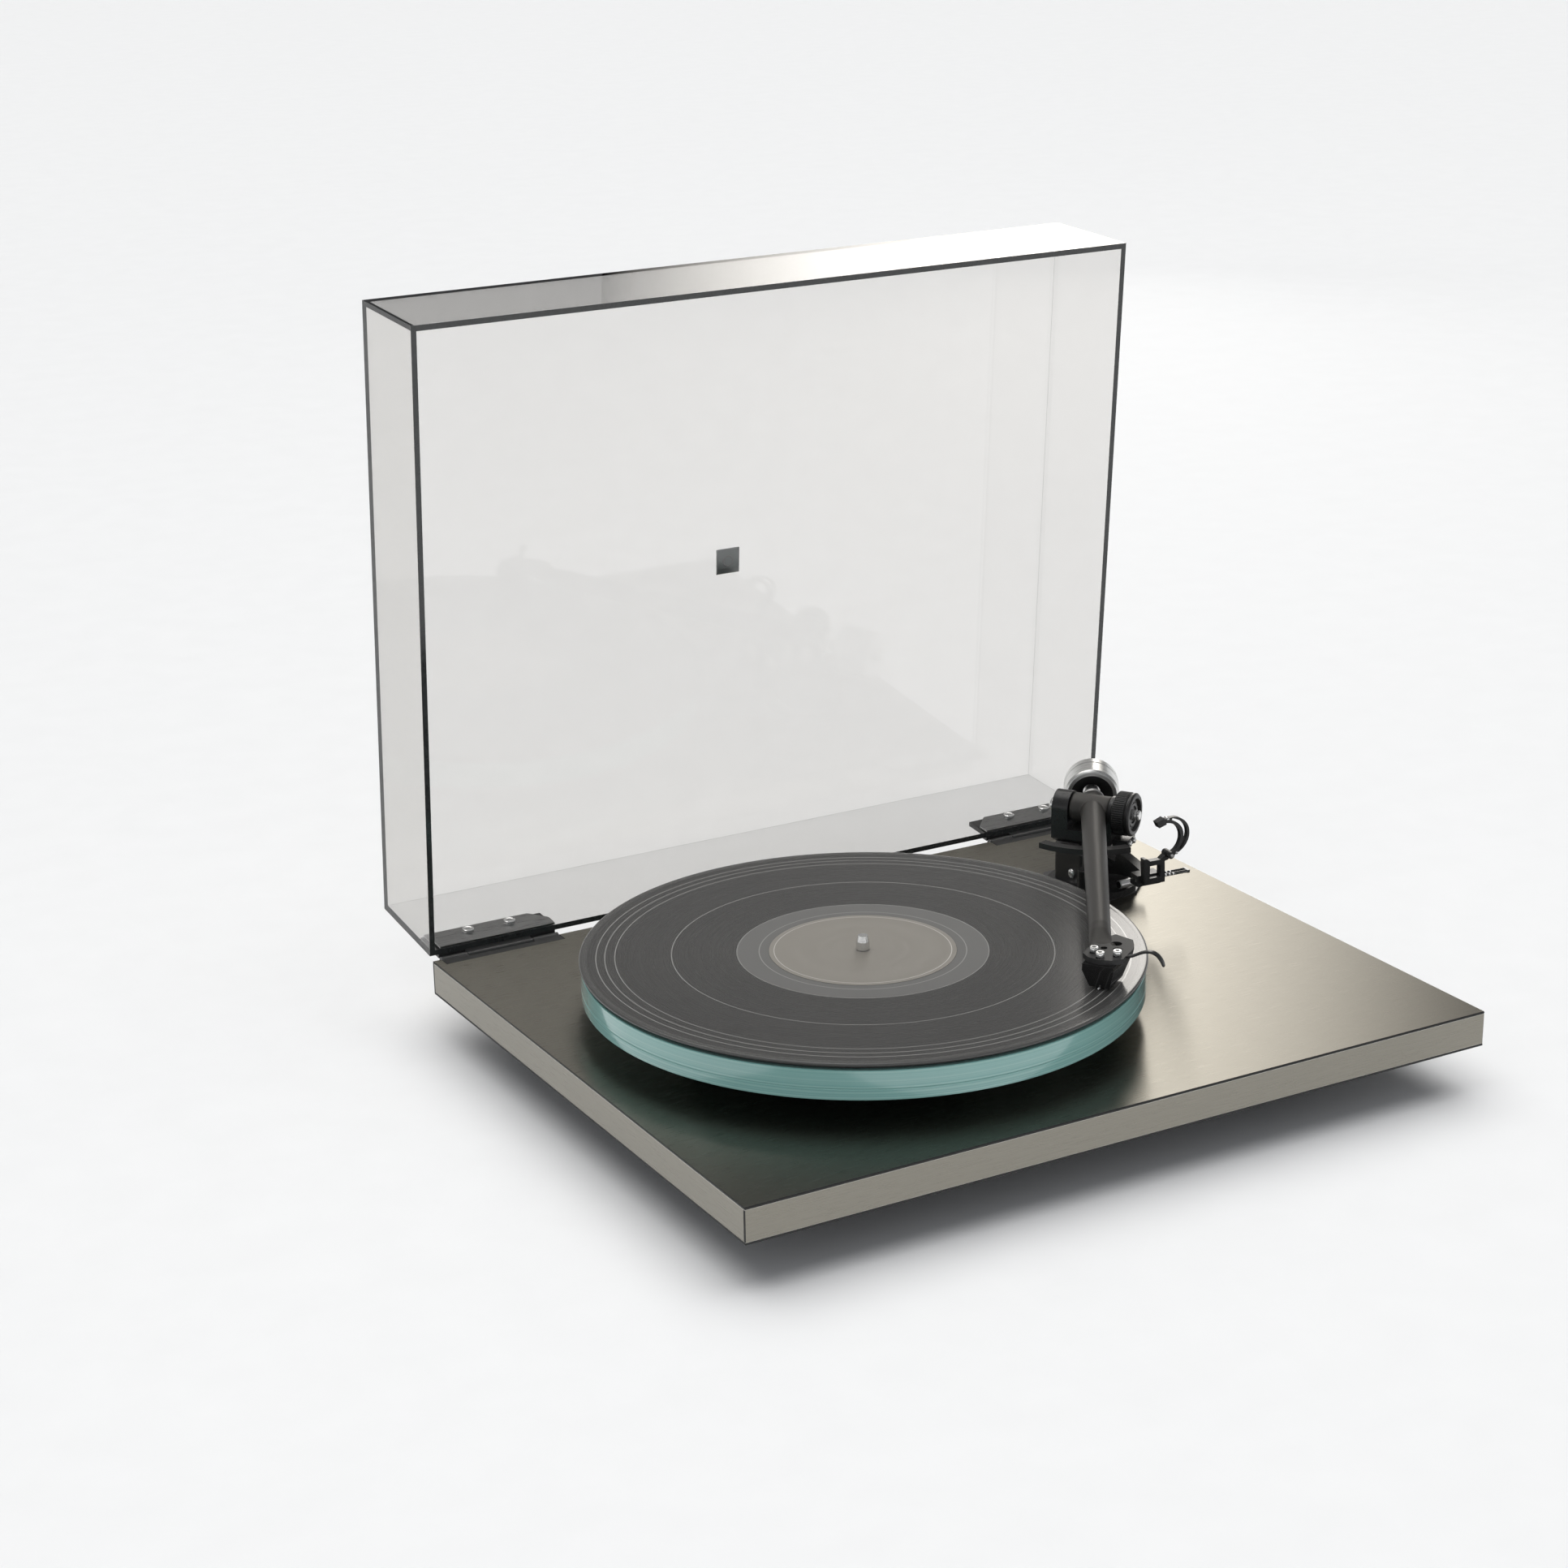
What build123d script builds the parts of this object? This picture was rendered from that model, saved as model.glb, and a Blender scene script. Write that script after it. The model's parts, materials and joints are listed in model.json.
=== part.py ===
"""Belt-driven turntable record player, built piece by piece as an assembly."""

from build123d import *
import math
import os

# ---------------------------------------------------------------- overall sizes
PLINTH_W = 447.0
PLINTH_D = 360.0
PLINTH_T = 19.5
SKIN_T = 1.0
FOOT_H = 28.0

# platter, mat and record
PLATTER_R = 150.0
GLASS_DISC_T = 10.0
GLASS_RING_T = 6.0
GLASS_RING_IN_R = 118.0
PLATTER_RISE = 13.8
MAT_T = 2.0
MAT_R = 147.0
RECORD_T = 2.0
RECORD_R = 150.8
LABEL_R = 50.0
LABEL_T = 0.25
PLATTER_X = -53.5
PLATTER_Y = 177.0
SPINDLE_R = 3.6
SPINDLE_TIP_R = 2.6
SPINDLE_OVER_RECORD = 8.0
SEAT_RELIEF = 0.25

# drive
HUB_R = 55.0
SUB_DISC_R = 95.0
SUB_DISC_T = 3.8
HUB_BOTTOM = 4.6
BELT_T = 1.0
BELT_W = 3.4
BELT_Z = 8.4
BELT_GAP = 0.3
PULLEY_R = 9.0
MOTOR_REACH = 96.0
MOTOR_ANGLE = 135.0
MOTOR_R = 25.0
MOTOR_BODY_T = 18.0
MOTOR_SHAFT_R = 1.6
BEARING_R = 11.0
SHAFT_R = 5.5
RUNNING_GAP = 0.05
BRACE_T = 2.0
BALL_R = 2.5

# tone arm
PIVOT_REACH = 222.0
PIVOT_ANGLE = 22.24
EFFECTIVE_LENGTH = 237.0
OFFSET_ANGLE = 22.0
PLAY_R = 134.5
AXIS_OVER_RECORD = 15.5
TUBE_R = 7.2
TUBE_END_R = 5.9
TUBE_END = 208.0
HEAD_SIDE = 2.4
SCREW_TO_TIP = 9.5
HEAD_T = 2.8
CARTRIDGE_W = 17.0
CARTRIDGE_L = 25.0
CUE_GAP = 1.3
PARK_TURN = 29.25
WEIGHT_R = 16.2
WEIGHT_L = 24.0
WEIGHT_AT = -25.0
WEIGHT_DROP = 1.0
STUB_R = 4.0
DIAL_R = 12.8
DIAL_T = 11.0
CHEEK_IN = 12.2
BASE_W = 34.0
BASE_GAP = 1.7
LIFT_REACH = 44.0
REST_REACH = 68.0
CLIP_R = 11.1
CLIP_OPEN = 30.0
BOLT_R = 1.5

# lid and hinges
LID_H = 68.0
LID_WALL = 3.2
LID_DRAFT = 1.3
LID_GAP = 1.5
LID_SET_BACK = 2.0
LID_FRONT = 0.5
LID_OPEN = 86.2
HINGE_BACK = 1.0
HINGE_DROP = 1.6
BARREL_R = 2.6
PIN_R = 1.2
HINGE_W = 72.0
HINGE_FROM_SIDE = 41.5
LEAF_T = 2.6
LEAF_H = 20.0
BADGE = 15.0

# small fixed sizes and fits
FIT = 0.1
SEAT_GAP = 0.05
POST_R = 10.0
MOTOR_HOLE_R = 7.0
RECESS_TOP = -4.0
MOTOR_SCREW_AT = 31.0
MOTOR_SCREWS = (90, 210, 330)
FOOT_R = 18.0
FOOT_INSET = 76.0
REAR_FOOT_INSET = 50.0
FOOT_BOLT_R = 2.5
FOOT_HEAD_R = 4.6
FOOT_HEAD_IN = 9.0
SOCKET_X = -120.0
LEAD_X = 120.0
SOCKET_Z = -10.0
SOCKET_R = 5.0
SOCKET_L = 15.0
INLET_R = 2.75
INLET_L = 11.0
LEAD_R = 2.2
LEAD_L = 14.0
NOTCH_D = 8.0
NOTCH_GAP = 0.4
HINGE_BLOCK_T = 5.5
HINGE_BLOCK_Z = -14.0
HINGE_SCREW_Z = -9.5
HINGE_SCREW_STEP = 22.0
KNUCKLE_W = 40.0
LEAF_LIFT = 0.4
CLAMP_H = 18.0
CLAMP_T = 1.2
LID_SCREW_STEP = 12.8
LID_SCREW_UP = 12.0
BADGE_T = 1.0
BUSH_LOW = -30.0
NUT_T = 5.0
BORE_LOW = -25.0
PIN_LENGTH = 4.0
FLANGE_R = 26.0
FLANGE_T = 4.0
BASE_SCREWS = (0, 90, 180)
BASE_SCREW_AT = 21.4
LIFT_ANGLE = 230.0
POST_REACH = 33.0
LIFT_POST_R = 2.5
BOSS_LOW = 9.0
BOSS_H = 15.0
LIFT_FROM = 195.0
LIFT_TO = 263.0
LIFT_T = 3.2
YOKE_SHAFT_R = 4.0
YOKE_DROP = 20.0
WEB_DROP = 11.6
CHEEK_L_OUT = 22.0
CHEEK_R_OUT = 15.0
CHEEK_HALF = 9.3
AXLE_R = 2.5
AXLE_L = 17.0
HUB_HALF = 11.8
HUB_BOSS_R = 8.6
REAR_BOSS = 13.0
TUBE_BORE_R = 4.3
STUB_END = 54.0
HEAD_HALF = 11.0
HEAD_SCREWS = ((0.0, -6.35), (0.0, 6.35), (5.5, -1.0))
CART_SCREW_R = 1.25
TIP_H = 0.65
LEVER_BACK = 8.0
LEVER_Z = 14.0
LEVER_T = 2.6
HANDLE_Y = -17.0
HANDLE_Z = -4.0
HANDLE_R = 2.0
HANDLE_L = 16.0
CLIP_CLOSED = 140.0
CLIP_HALF = 1.7
CLIP_SLOT_HALF = 0.8
CLIP_T = 3.0
CLIP_ARC = 190.0
CLIP_PIN_R = 1.0
CLIP_PIN_SIDE = 8.3
CLIP_PIN_DROP = 6.3
BIAS_REACH = 7.4
BIAS_STEP = 3.4
CLEAR_R = 31.0
BIAS_R = 0.9
BIAS_DROP = 21.5
BIAS_OUT = 26.0

# ---------------------------------------------------------------- derived places
TOP_Z = FOOT_H + PLINTH_T
LID_W = PLINTH_W
LID_REAR = PLINTH_D - LID_SET_BACK
LID_D = LID_REAR - LID_FRONT
HINGE_AT = PLINTH_W / 2 - HINGE_FROM_SIDE
HINGE_Y = PLINTH_D + HINGE_BACK
OPEN = math.radians(LID_OPEN)
ROOF_BACK = LID_GAP + LID_H + HINGE_DROP
ROOF_IN = LID_REAR - LID_H * math.tan(math.radians(LID_DRAFT)) - HINGE_Y
DEPTH = HINGE_Y + ROOF_BACK * math.sin(OPEN) + ROOF_IN * math.cos(OPEN)
FRONT_Y = -DEPTH / 2
RECORD_Z = PLATTER_RISE + GLASS_RING_T + GLASS_DISC_T + MAT_T + RECORD_T
MAT_Z = RECORD_Z - RECORD_T - MAT_T
AXIS_Z = RECORD_Z + AXIS_OVER_RECORD
BASE_TOP = AXIS_Z - YOKE_DROP - BASE_GAP
DISC_Z = MAT_Z - GLASS_DISC_T
HUB_GROOVE_R = HUB_R - BELT_T - BELT_GAP
PULLEY_GROOVE_R = PULLEY_R - BELT_T - BELT_GAP
MOTOR_X = PLATTER_X + MOTOR_REACH * math.cos(math.radians(MOTOR_ANGLE))
MOTOR_Y = PLATTER_Y + MOTOR_REACH * math.sin(math.radians(MOTOR_ANGLE))
PIVOT_X = PLATTER_X + PIVOT_REACH * math.cos(math.radians(PIVOT_ANGLE))
PIVOT_Y = PLATTER_Y + PIVOT_REACH * math.sin(math.radians(PIVOT_ANGLE))
LEVER_Y = PIVOT_Y - LEVER_BACK

# direction of the tube in plan, from the triangle spindle, pivot, stylus
SPREAD = (PIVOT_REACH**2 + EFFECTIVE_LENGTH**2 - PLAY_R**2) / (2 * PIVOT_REACH * EFFECTIVE_LENGTH)
TIP_SIDE = HEAD_SIDE - SCREW_TO_TIP * math.sin(math.radians(OFFSET_ANGLE))
TIP_ALONG = math.sqrt(EFFECTIVE_LENGTH**2 - TIP_SIDE**2)
HEAD_ALONG = TIP_ALONG - SCREW_TO_TIP * math.cos(math.radians(OFFSET_ANGLE))
ARM_TURN = 180 + PIVOT_ANGLE + math.degrees(math.acos(SPREAD) - math.atan2(TIP_SIDE, TIP_ALONG))
PARK = ARM_TURN + PARK_TURN
HEAD_TOP = AXIS_Z + 1.6
HEAD_BOTTOM = HEAD_TOP - HEAD_T
CLIP_PIN_Z = AXIS_Z - CLIP_PIN_DROP
BIAS_Z = AXIS_Z - BIAS_DROP
BIAS_RODS = (REST_REACH - BIAS_REACH, REST_REACH - BIAS_REACH + BIAS_STEP)
HORN_Z = AXIS_Z - 7.2
SADDLE_Z = HORN_Z - 1.8
FRAME_Z = AXIS_Z - 22.8

TUBE_BOTTOM_AT_LIFT = AXIS_Z - TUBE_R + (TUBE_R - TUBE_END_R) * LIFT_REACH / TUBE_END
LIFT_TOP = TUBE_BOTTOM_AT_LIFT - CUE_GAP
DRAFT = math.radians(LID_DRAFT)
PLINTH_BOTTOM = -PLINTH_T
FLOOR = -TOP_Z
WALL_NORMAL = LID_WALL * math.cos(DRAFT)
HINGE_SCREW_X = [s * HINGE_AT + t * HINGE_SCREW_STEP for s in (-1, 1) for t in (-1, 1)]
LID_SCREW_X = [s * HINGE_AT + t * LID_SCREW_STEP for s in (-1, 1) for t in (-1, 1)]

BORES = [
    (PLATTER_X, PLATTER_Y, BEARING_R),
    (PIVOT_X, PIVOT_Y, POST_R),
    (MOTOR_X, MOTOR_Y, MOTOR_HOLE_R),
]
FEET = [
    ("foot_front_left", -PLINTH_W / 2 + FOOT_INSET, FOOT_INSET),
    ("foot_front_right", PLINTH_W / 2 - FOOT_INSET, FOOT_INSET),
    ("foot_rear", 0.0, PLINTH_D - REAR_FOOT_INSET),
]
UP = (Align.CENTER, Align.CENTER, Align.MIN)
DOWN = (Align.CENTER, Align.CENTER, Align.MAX)

# ---------------------------------------------------------------- helpers


def level(x, y, z=0.0):
    """A level plane: x from the plinth's middle, y from its front, z from its top face."""
    return Plane(origin=(x, FRONT_Y + y, TOP_Z + z))


def polar(x, y, z, angle, reach=0.0, side=0.0):
    """A level plane turned by an angle in plan and moved along and across that direction."""
    turn = math.radians(angle)
    px = x + reach * math.cos(turn) - side * math.sin(turn)
    py = FRONT_Y + y + reach * math.sin(turn) + side * math.cos(turn)
    return Plane(origin=(px, py, TOP_Z + z), x_dir=(math.cos(turn), math.sin(turn), 0))


def arm(along=0.0, side=0.0, z=AXIS_Z):
    """A level plane in the arm's frame: along the tube, across it, height over the plinth."""
    return polar(PIVOT_X, PIVOT_Y, z, ARM_TURN, along, side)


def pitch(along=0.0, side=0.0, z=AXIS_Z):
    """A level plane in the yoke's frame, whose side direction is the pitch axis."""
    return polar(PIVOT_X, PIVOT_Y, z, ARM_TURN - OFFSET_ANGLE, along, side)


def head(along=0.0, side=0.0, z=HEAD_TOP):
    """A level plane in the headshell's frame, from the middle of its two rear screws."""
    turn = math.radians(OFFSET_ANGLE)
    reach = HEAD_ALONG + along * math.cos(turn) + side * math.sin(turn)
    shift = HEAD_SIDE - along * math.sin(turn) + side * math.cos(turn)
    return polar_turned(reach, shift, z)


def polar_turned(reach, shift, z):
    """The plane at a place of the arm's frame, turned to the cartridge's direction."""
    spot = arm(reach, shift, z).origin
    turn = math.radians(ARM_TURN - OFFSET_ANGLE)
    return Plane(origin=spot, x_dir=(math.cos(turn), math.sin(turn), 0))


def park(reach=0.0, side=0.0, z=0.0):
    """A level plane in the frame of the parked arm, from the pivot."""
    return polar(PIVOT_X, PIVOT_Y, z, PARK, reach, side)


def across(plane):
    """An upright plane whose normal is the old x axis; local x is the old y, local y is up."""
    return Plane(origin=plane.origin, x_dir=plane.y_dir, z_dir=plane.x_dir)


def edgeways(plane):
    """An upright plane that keeps x; local y is up and the normal is the old -y axis."""
    return Plane(origin=plane.origin, x_dir=plane.x_dir, z_dir=-plane.y_dir)


def lid(x, y, z):
    """The plane at a place given for the closed lid, carried round to the open lid."""
    dy = y - HINGE_Y
    dz = z + HINGE_DROP
    open_y = HINGE_Y + dy * math.cos(OPEN) + dz * math.sin(OPEN)
    open_z = -HINGE_DROP - dy * math.sin(OPEN) + dz * math.cos(OPEN)
    up = (0, math.sin(OPEN), math.cos(OPEN))
    return Plane(origin=(x, FRONT_Y + open_y, TOP_Z + open_z), x_dir=(1, 0, 0), z_dir=up)


def rear_wall(x, up, out=0.0):
    """A plane on the lid's rear wall: normal outward, local y from the mouth to the roof."""
    y = LID_REAR - up * math.sin(DRAFT) + out * math.cos(DRAFT)
    z = LID_GAP + up * math.cos(DRAFT) + out * math.sin(DRAFT)
    turn = OPEN - DRAFT
    spot = lid(x, y, z).origin
    return Plane(origin=spot, x_dir=(-1, 0, 0), z_dir=(0, math.cos(turn), -math.sin(turn)))


def rod(plane, radius, height, mode=Mode.ADD):
    """A cylinder standing on a plane."""
    with Locations(plane):
        Cylinder(radius, height, align=UP, mode=mode)


def block(plane, length, width, height, mode=Mode.ADD):
    """A box standing on the middle of a plane."""
    with Locations(plane):
        Box(length, width, height, align=UP, mode=mode)


def slab(plane, points, height, mode=Mode.ADD):
    """A plate of the given outline, standing on a plane."""
    with BuildSketch(plane) as flat:
        with BuildLine():
            Polyline(*points, close=True)
        make_face()
    extrude(flat.sketch, amount=height, mode=mode)


def cross_screw(plane, head_r, head_h, length, shank_r=BOLT_R):
    """A cross-head screw: head above the plane, shank below it."""
    rod(plane, head_r, head_h)
    with Locations(plane):
        Cylinder(shank_r, length, align=DOWN)
    for turn in (0, 90):
        with Locations(plane.offset(head_h - 0.8)):
            Box(head_r * 1.1, head_r * 0.28, 0.8, rotation=(0, 0, turn), align=UP, mode=Mode.SUBTRACT)


def save(piece, name):
    """Labels a finished piece and writes its STEP file."""
    piece.part.label = name
    export_step(piece.part, f"parts/{name}.step")


# ---------------------------------------------------------------- plinth


def hinge_notches(bottom, top):
    """Cuts the two hinge notches out of the open piece, between two heights."""
    for sign in (-1, 1):
        spot = level(sign * HINGE_AT, PLINTH_D - NOTCH_D / 2 + 1, bottom)
        block(spot, HINGE_W + 2 * NOTCH_GAP, NOTCH_D + 2, top - bottom, Mode.SUBTRACT)


def through_bores(bottom, height):
    """Drills the bearing, arm and motor bores through the open piece."""
    for x, y, radius in BORES:
        rod(level(x, y, bottom), radius, height, Mode.SUBTRACT)


def plinth_core():
    """The light core board with its bores, motor recess and hinge notches."""
    height = PLINTH_T - 2 * SKIN_T
    bottom = PLINTH_BOTTOM + SKIN_T
    with BuildPart() as core:
        block(level(0, PLINTH_D / 2, bottom), PLINTH_W - 2 * SKIN_T, PLINTH_D - 2 * SKIN_T, height)
        through_bores(bottom, height)
        rod(level(MOTOR_X, MOTOR_Y, bottom), MOTOR_R + 1.5, RECESS_TOP - bottom, Mode.SUBTRACT)
        hinge_notches(HINGE_BLOCK_Z, -SKIN_T)
        for _, x, y in FEET:
            rod(level(x, y, bottom), FOOT_BOLT_R, 10, Mode.SUBTRACT)
        for angle in MOTOR_SCREWS:
            spot = polar(MOTOR_X, MOTOR_Y, bottom, angle, MOTOR_SCREW_AT)
            rod(spot, BOLT_R, 6, Mode.SUBTRACT)
        for x in HINGE_SCREW_X:
            spot = edgeways(level(x, PLINTH_D - NOTCH_D, HINGE_SCREW_Z)).offset(-1)
            rod(spot, BOLT_R, 13, Mode.SUBTRACT)
        for x in (SOCKET_X, LEAD_X):
            rod(edgeways(level(x, PLINTH_D, SOCKET_Z)), SOCKET_R, SOCKET_L, Mode.SUBTRACT)
    save(core, "plinth_core")


def skins():
    """The laminate sheets above and below the core."""
    with BuildPart() as top:
        block(level(0, PLINTH_D / 2, -SKIN_T), PLINTH_W, PLINTH_D, SKIN_T)
        through_bores(-SKIN_T, SKIN_T)
        hinge_notches(-SKIN_T, 0)
        edges = top.faces().sort_by(Axis.Z)[-1].outer_wire().edges()
        chamfer(edges.filter_by(Axis.X).sort_by(Axis.Y)[0], length=0.4)
    save(top, "plinth_top_skin")
    with BuildPart() as bottom:
        block(level(0, PLINTH_D / 2, PLINTH_BOTTOM), PLINTH_W, PLINTH_D, SKIN_T)
        through_bores(PLINTH_BOTTOM, SKIN_T)
        rod(level(MOTOR_X, MOTOR_Y, PLINTH_BOTTOM), MOTOR_R + 1.5, SKIN_T, Mode.SUBTRACT)
        for _, x, y in FEET:
            rod(level(x, y, PLINTH_BOTTOM), FOOT_BOLT_R, SKIN_T, Mode.SUBTRACT)
        for angle in MOTOR_SCREWS:
            spot = polar(MOTOR_X, MOTOR_Y, PLINTH_BOTTOM, angle, MOTOR_SCREW_AT)
            rod(spot, BOLT_R, SKIN_T, Mode.SUBTRACT)
    save(bottom, "plinth_bottom_skin")


def edge_bands():
    """The four laminate strips round the core's edge."""
    height = PLINTH_T - 2 * SKIN_T
    bottom = PLINTH_BOTTOM + SKIN_T
    side_l = PLINTH_D - 2 * SKIN_T
    side_x = (PLINTH_W - SKIN_T) / 2
    for name, x in (("edge_band_left", -side_x), ("edge_band_right", side_x)):
        with BuildPart() as side:
            block(level(x, PLINTH_D / 2, bottom), SKIN_T, side_l, height)
        save(side, name)
    with BuildPart() as front:
        block(level(0, SKIN_T / 2, bottom), PLINTH_W, SKIN_T, height)
    save(front, "edge_band_front")
    with BuildPart() as rear:
        block(level(0, PLINTH_D - SKIN_T / 2, bottom), PLINTH_W, SKIN_T, height)
        hinge_notches(HINGE_BLOCK_Z, -SKIN_T)
        for x in (SOCKET_X, LEAD_X):
            rod(edgeways(level(x, PLINTH_D, SOCKET_Z)), SOCKET_R, SKIN_T, Mode.SUBTRACT)
    save(rear, "edge_band_rear")


def brace(name, bottom, outline):
    """A stiffening plate from the main bearing to the arm post."""
    with BuildPart() as plate:
        slab(polar(PLATTER_X, PLATTER_Y, bottom, PIVOT_ANGLE), outline, BRACE_T)
        rod(level(PLATTER_X, PLATTER_Y, bottom), BEARING_R, BRACE_T, Mode.SUBTRACT)
        rod(level(PIVOT_X, PIVOT_Y, bottom), POST_R, BRACE_T, Mode.SUBTRACT)
    save(plate, name)


def braces():
    """The upper plate, wide and cornered at the arm, and the narrow lower one."""
    end = PIVOT_REACH
    wide = [(-19, -15), (-19, 15), (end - 32, 15), (end + 2, 35), (end + 26, 26)]
    wide += [(end + 28, -18), (end + 8, -26), (end - 32, -15)]
    brace("brace_upper", 0, wide)
    narrow = [(-19, -15), (-19, 15), (end + 19, 15), (end + 19, -15)]
    brace("brace_lower", PLINTH_BOTTOM - BRACE_T, narrow)


def main_bearing():
    """The flanged bearing bush, the nuts under the lower brace and the thrust ball."""
    low = PLINTH_BOTTOM - BRACE_T
    with BuildPart() as bush:
        rod(level(PLATTER_X, PLATTER_Y, BRACE_T), BEARING_R + 5, 1.4)
        rod(level(PLATTER_X, PLATTER_Y, BUSH_LOW), BEARING_R - FIT, BRACE_T - BUSH_LOW)
        rod(level(PLATTER_X, PLATTER_Y, BORE_LOW), SHAFT_R + RUNNING_GAP, 40, Mode.SUBTRACT)
    save(bush, "main_bearing")
    with BuildPart() as nuts:
        for x, y, radius in BORES[:2]:
            with BuildSketch(level(x, y, low - NUT_T)) as hexagon:
                RegularPolygon(radius + 6, 6)
                Circle(radius, mode=Mode.SUBTRACT)
            extrude(hexagon.sketch, amount=NUT_T)
    save(nuts, "post_nuts")
    with BuildPart() as ball:
        with Locations(level(PLATTER_X, PLATTER_Y, BORE_LOW + BALL_R)):
            Sphere(BALL_R)
    save(ball, "thrust_ball")


def motor():
    """The motor in its recess, its mounting plate and the plate's three screws."""
    plate_z = PLINTH_BOTTOM - BRACE_T
    top = RECESS_TOP - 1.5
    with BuildPart() as body:
        rod(level(MOTOR_X, MOTOR_Y, PLINTH_BOTTOM), MOTOR_R, top - PLINTH_BOTTOM)
        rod(level(MOTOR_X, MOTOR_Y, top), MOTOR_HOLE_R - 1, -top - 1)
        rod(level(MOTOR_X, MOTOR_Y, plate_z - 3), 11, 3 + BRACE_T)
        rod(level(MOTOR_X, MOTOR_Y, -14), MOTOR_SHAFT_R + RUNNING_GAP, 20, Mode.SUBTRACT)
        edges = body.edges().filter_by(GeomType.CIRCLE).group_by(SortBy.RADIUS)[-1]
        chamfer(edges.sort_by(Axis.Z)[-1], length=1)
    save(body, "motor_body")
    with BuildPart() as plate:
        rod(level(MOTOR_X, MOTOR_Y, plate_z), MOTOR_SCREW_AT + 5, BRACE_T)
        rod(level(MOTOR_X, MOTOR_Y, plate_z), 11, BRACE_T, Mode.SUBTRACT)
        for angle in MOTOR_SCREWS:
            spot = polar(MOTOR_X, MOTOR_Y, plate_z, angle, MOTOR_SCREW_AT)
            rod(spot, BOLT_R, BRACE_T, Mode.SUBTRACT)
    save(plate, "motor_plate")
    with BuildPart() as screws:
        for angle in MOTOR_SCREWS:
            spot = polar(MOTOR_X, MOTOR_Y, plate_z, angle, MOTOR_SCREW_AT)
            down = Plane(origin=spot.origin, x_dir=spot.x_dir, z_dir=(0, 0, -1))
            cross_screw(down, 2.8, 1.8, BRACE_T + SKIN_T + 5)
    save(screws, "motor_screws")


def feet():
    """Three turned feet, and the screws that hold them."""
    for name, x, y in FEET:
        with BuildPart() as foot:
            with BuildSketch(edgeways(level(x, y, FLOOR))) as profile:
                with BuildLine():
                    Polyline((0, 0), (FOOT_R - 1.5, 0), (FOOT_R, 1.5), (FOOT_R, 8),
                             (FOOT_R - 4, 11), (FOOT_R - 4, FOOT_H - 7), (FOOT_R - 1, FOOT_H - 4),
                             (FOOT_R - 1, FOOT_H), (0, FOOT_H), close=True)
                make_face()
            axis = Axis((x, FRONT_Y + y, 0), (0, 0, 1))
            revolve(profile.sketch, axis=axis)
            rod(level(x, y, FLOOR), FOOT_HEAD_R + 1, FOOT_HEAD_IN, Mode.SUBTRACT)
            rod(level(x, y, FLOOR), FOOT_BOLT_R, FOOT_H, Mode.SUBTRACT)
        save(foot, name)
    with BuildPart() as screws:
        for _, x, y in FEET:
            spot = level(x, y, FLOOR + FOOT_HEAD_IN)
            down = Plane(origin=spot.origin, x_dir=(1, 0, 0), z_dir=(0, 0, -1))
            cross_screw(down, FOOT_HEAD_R, 2.6, FOOT_H - FOOT_HEAD_IN + 9, FOOT_BOLT_R)
    save(screws, "foot_screws")


def sockets():
    """The power inlet and the signal lead bush in the rear edge."""
    with BuildPart() as inlet:
        rod(edgeways(level(SOCKET_X, PLINTH_D, SOCKET_Z)), SOCKET_R, SOCKET_L)
        rod(edgeways(level(SOCKET_X, PLINTH_D + 1.2, SOCKET_Z)), SOCKET_R + 1.6, 1.2)
        rod(edgeways(level(SOCKET_X, PLINTH_D + 1.2, SOCKET_Z)), INLET_R, INLET_L, Mode.SUBTRACT)
    save(inlet, "power_inlet")
    with BuildPart() as bush:
        rod(edgeways(level(LEAD_X, PLINTH_D, SOCKET_Z)), SOCKET_R, SOCKET_L)
        rod(edgeways(level(LEAD_X, PLINTH_D + 2.5, SOCKET_Z)), SOCKET_R + 1.2, 2.5)
        rod(edgeways(level(LEAD_X, PLINTH_D + 2.5, SOCKET_Z)), LEAD_R, LEAD_L, Mode.SUBTRACT)
    save(bush, "lead_bush")


# ---------------------------------------------------------------- hinges


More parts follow.
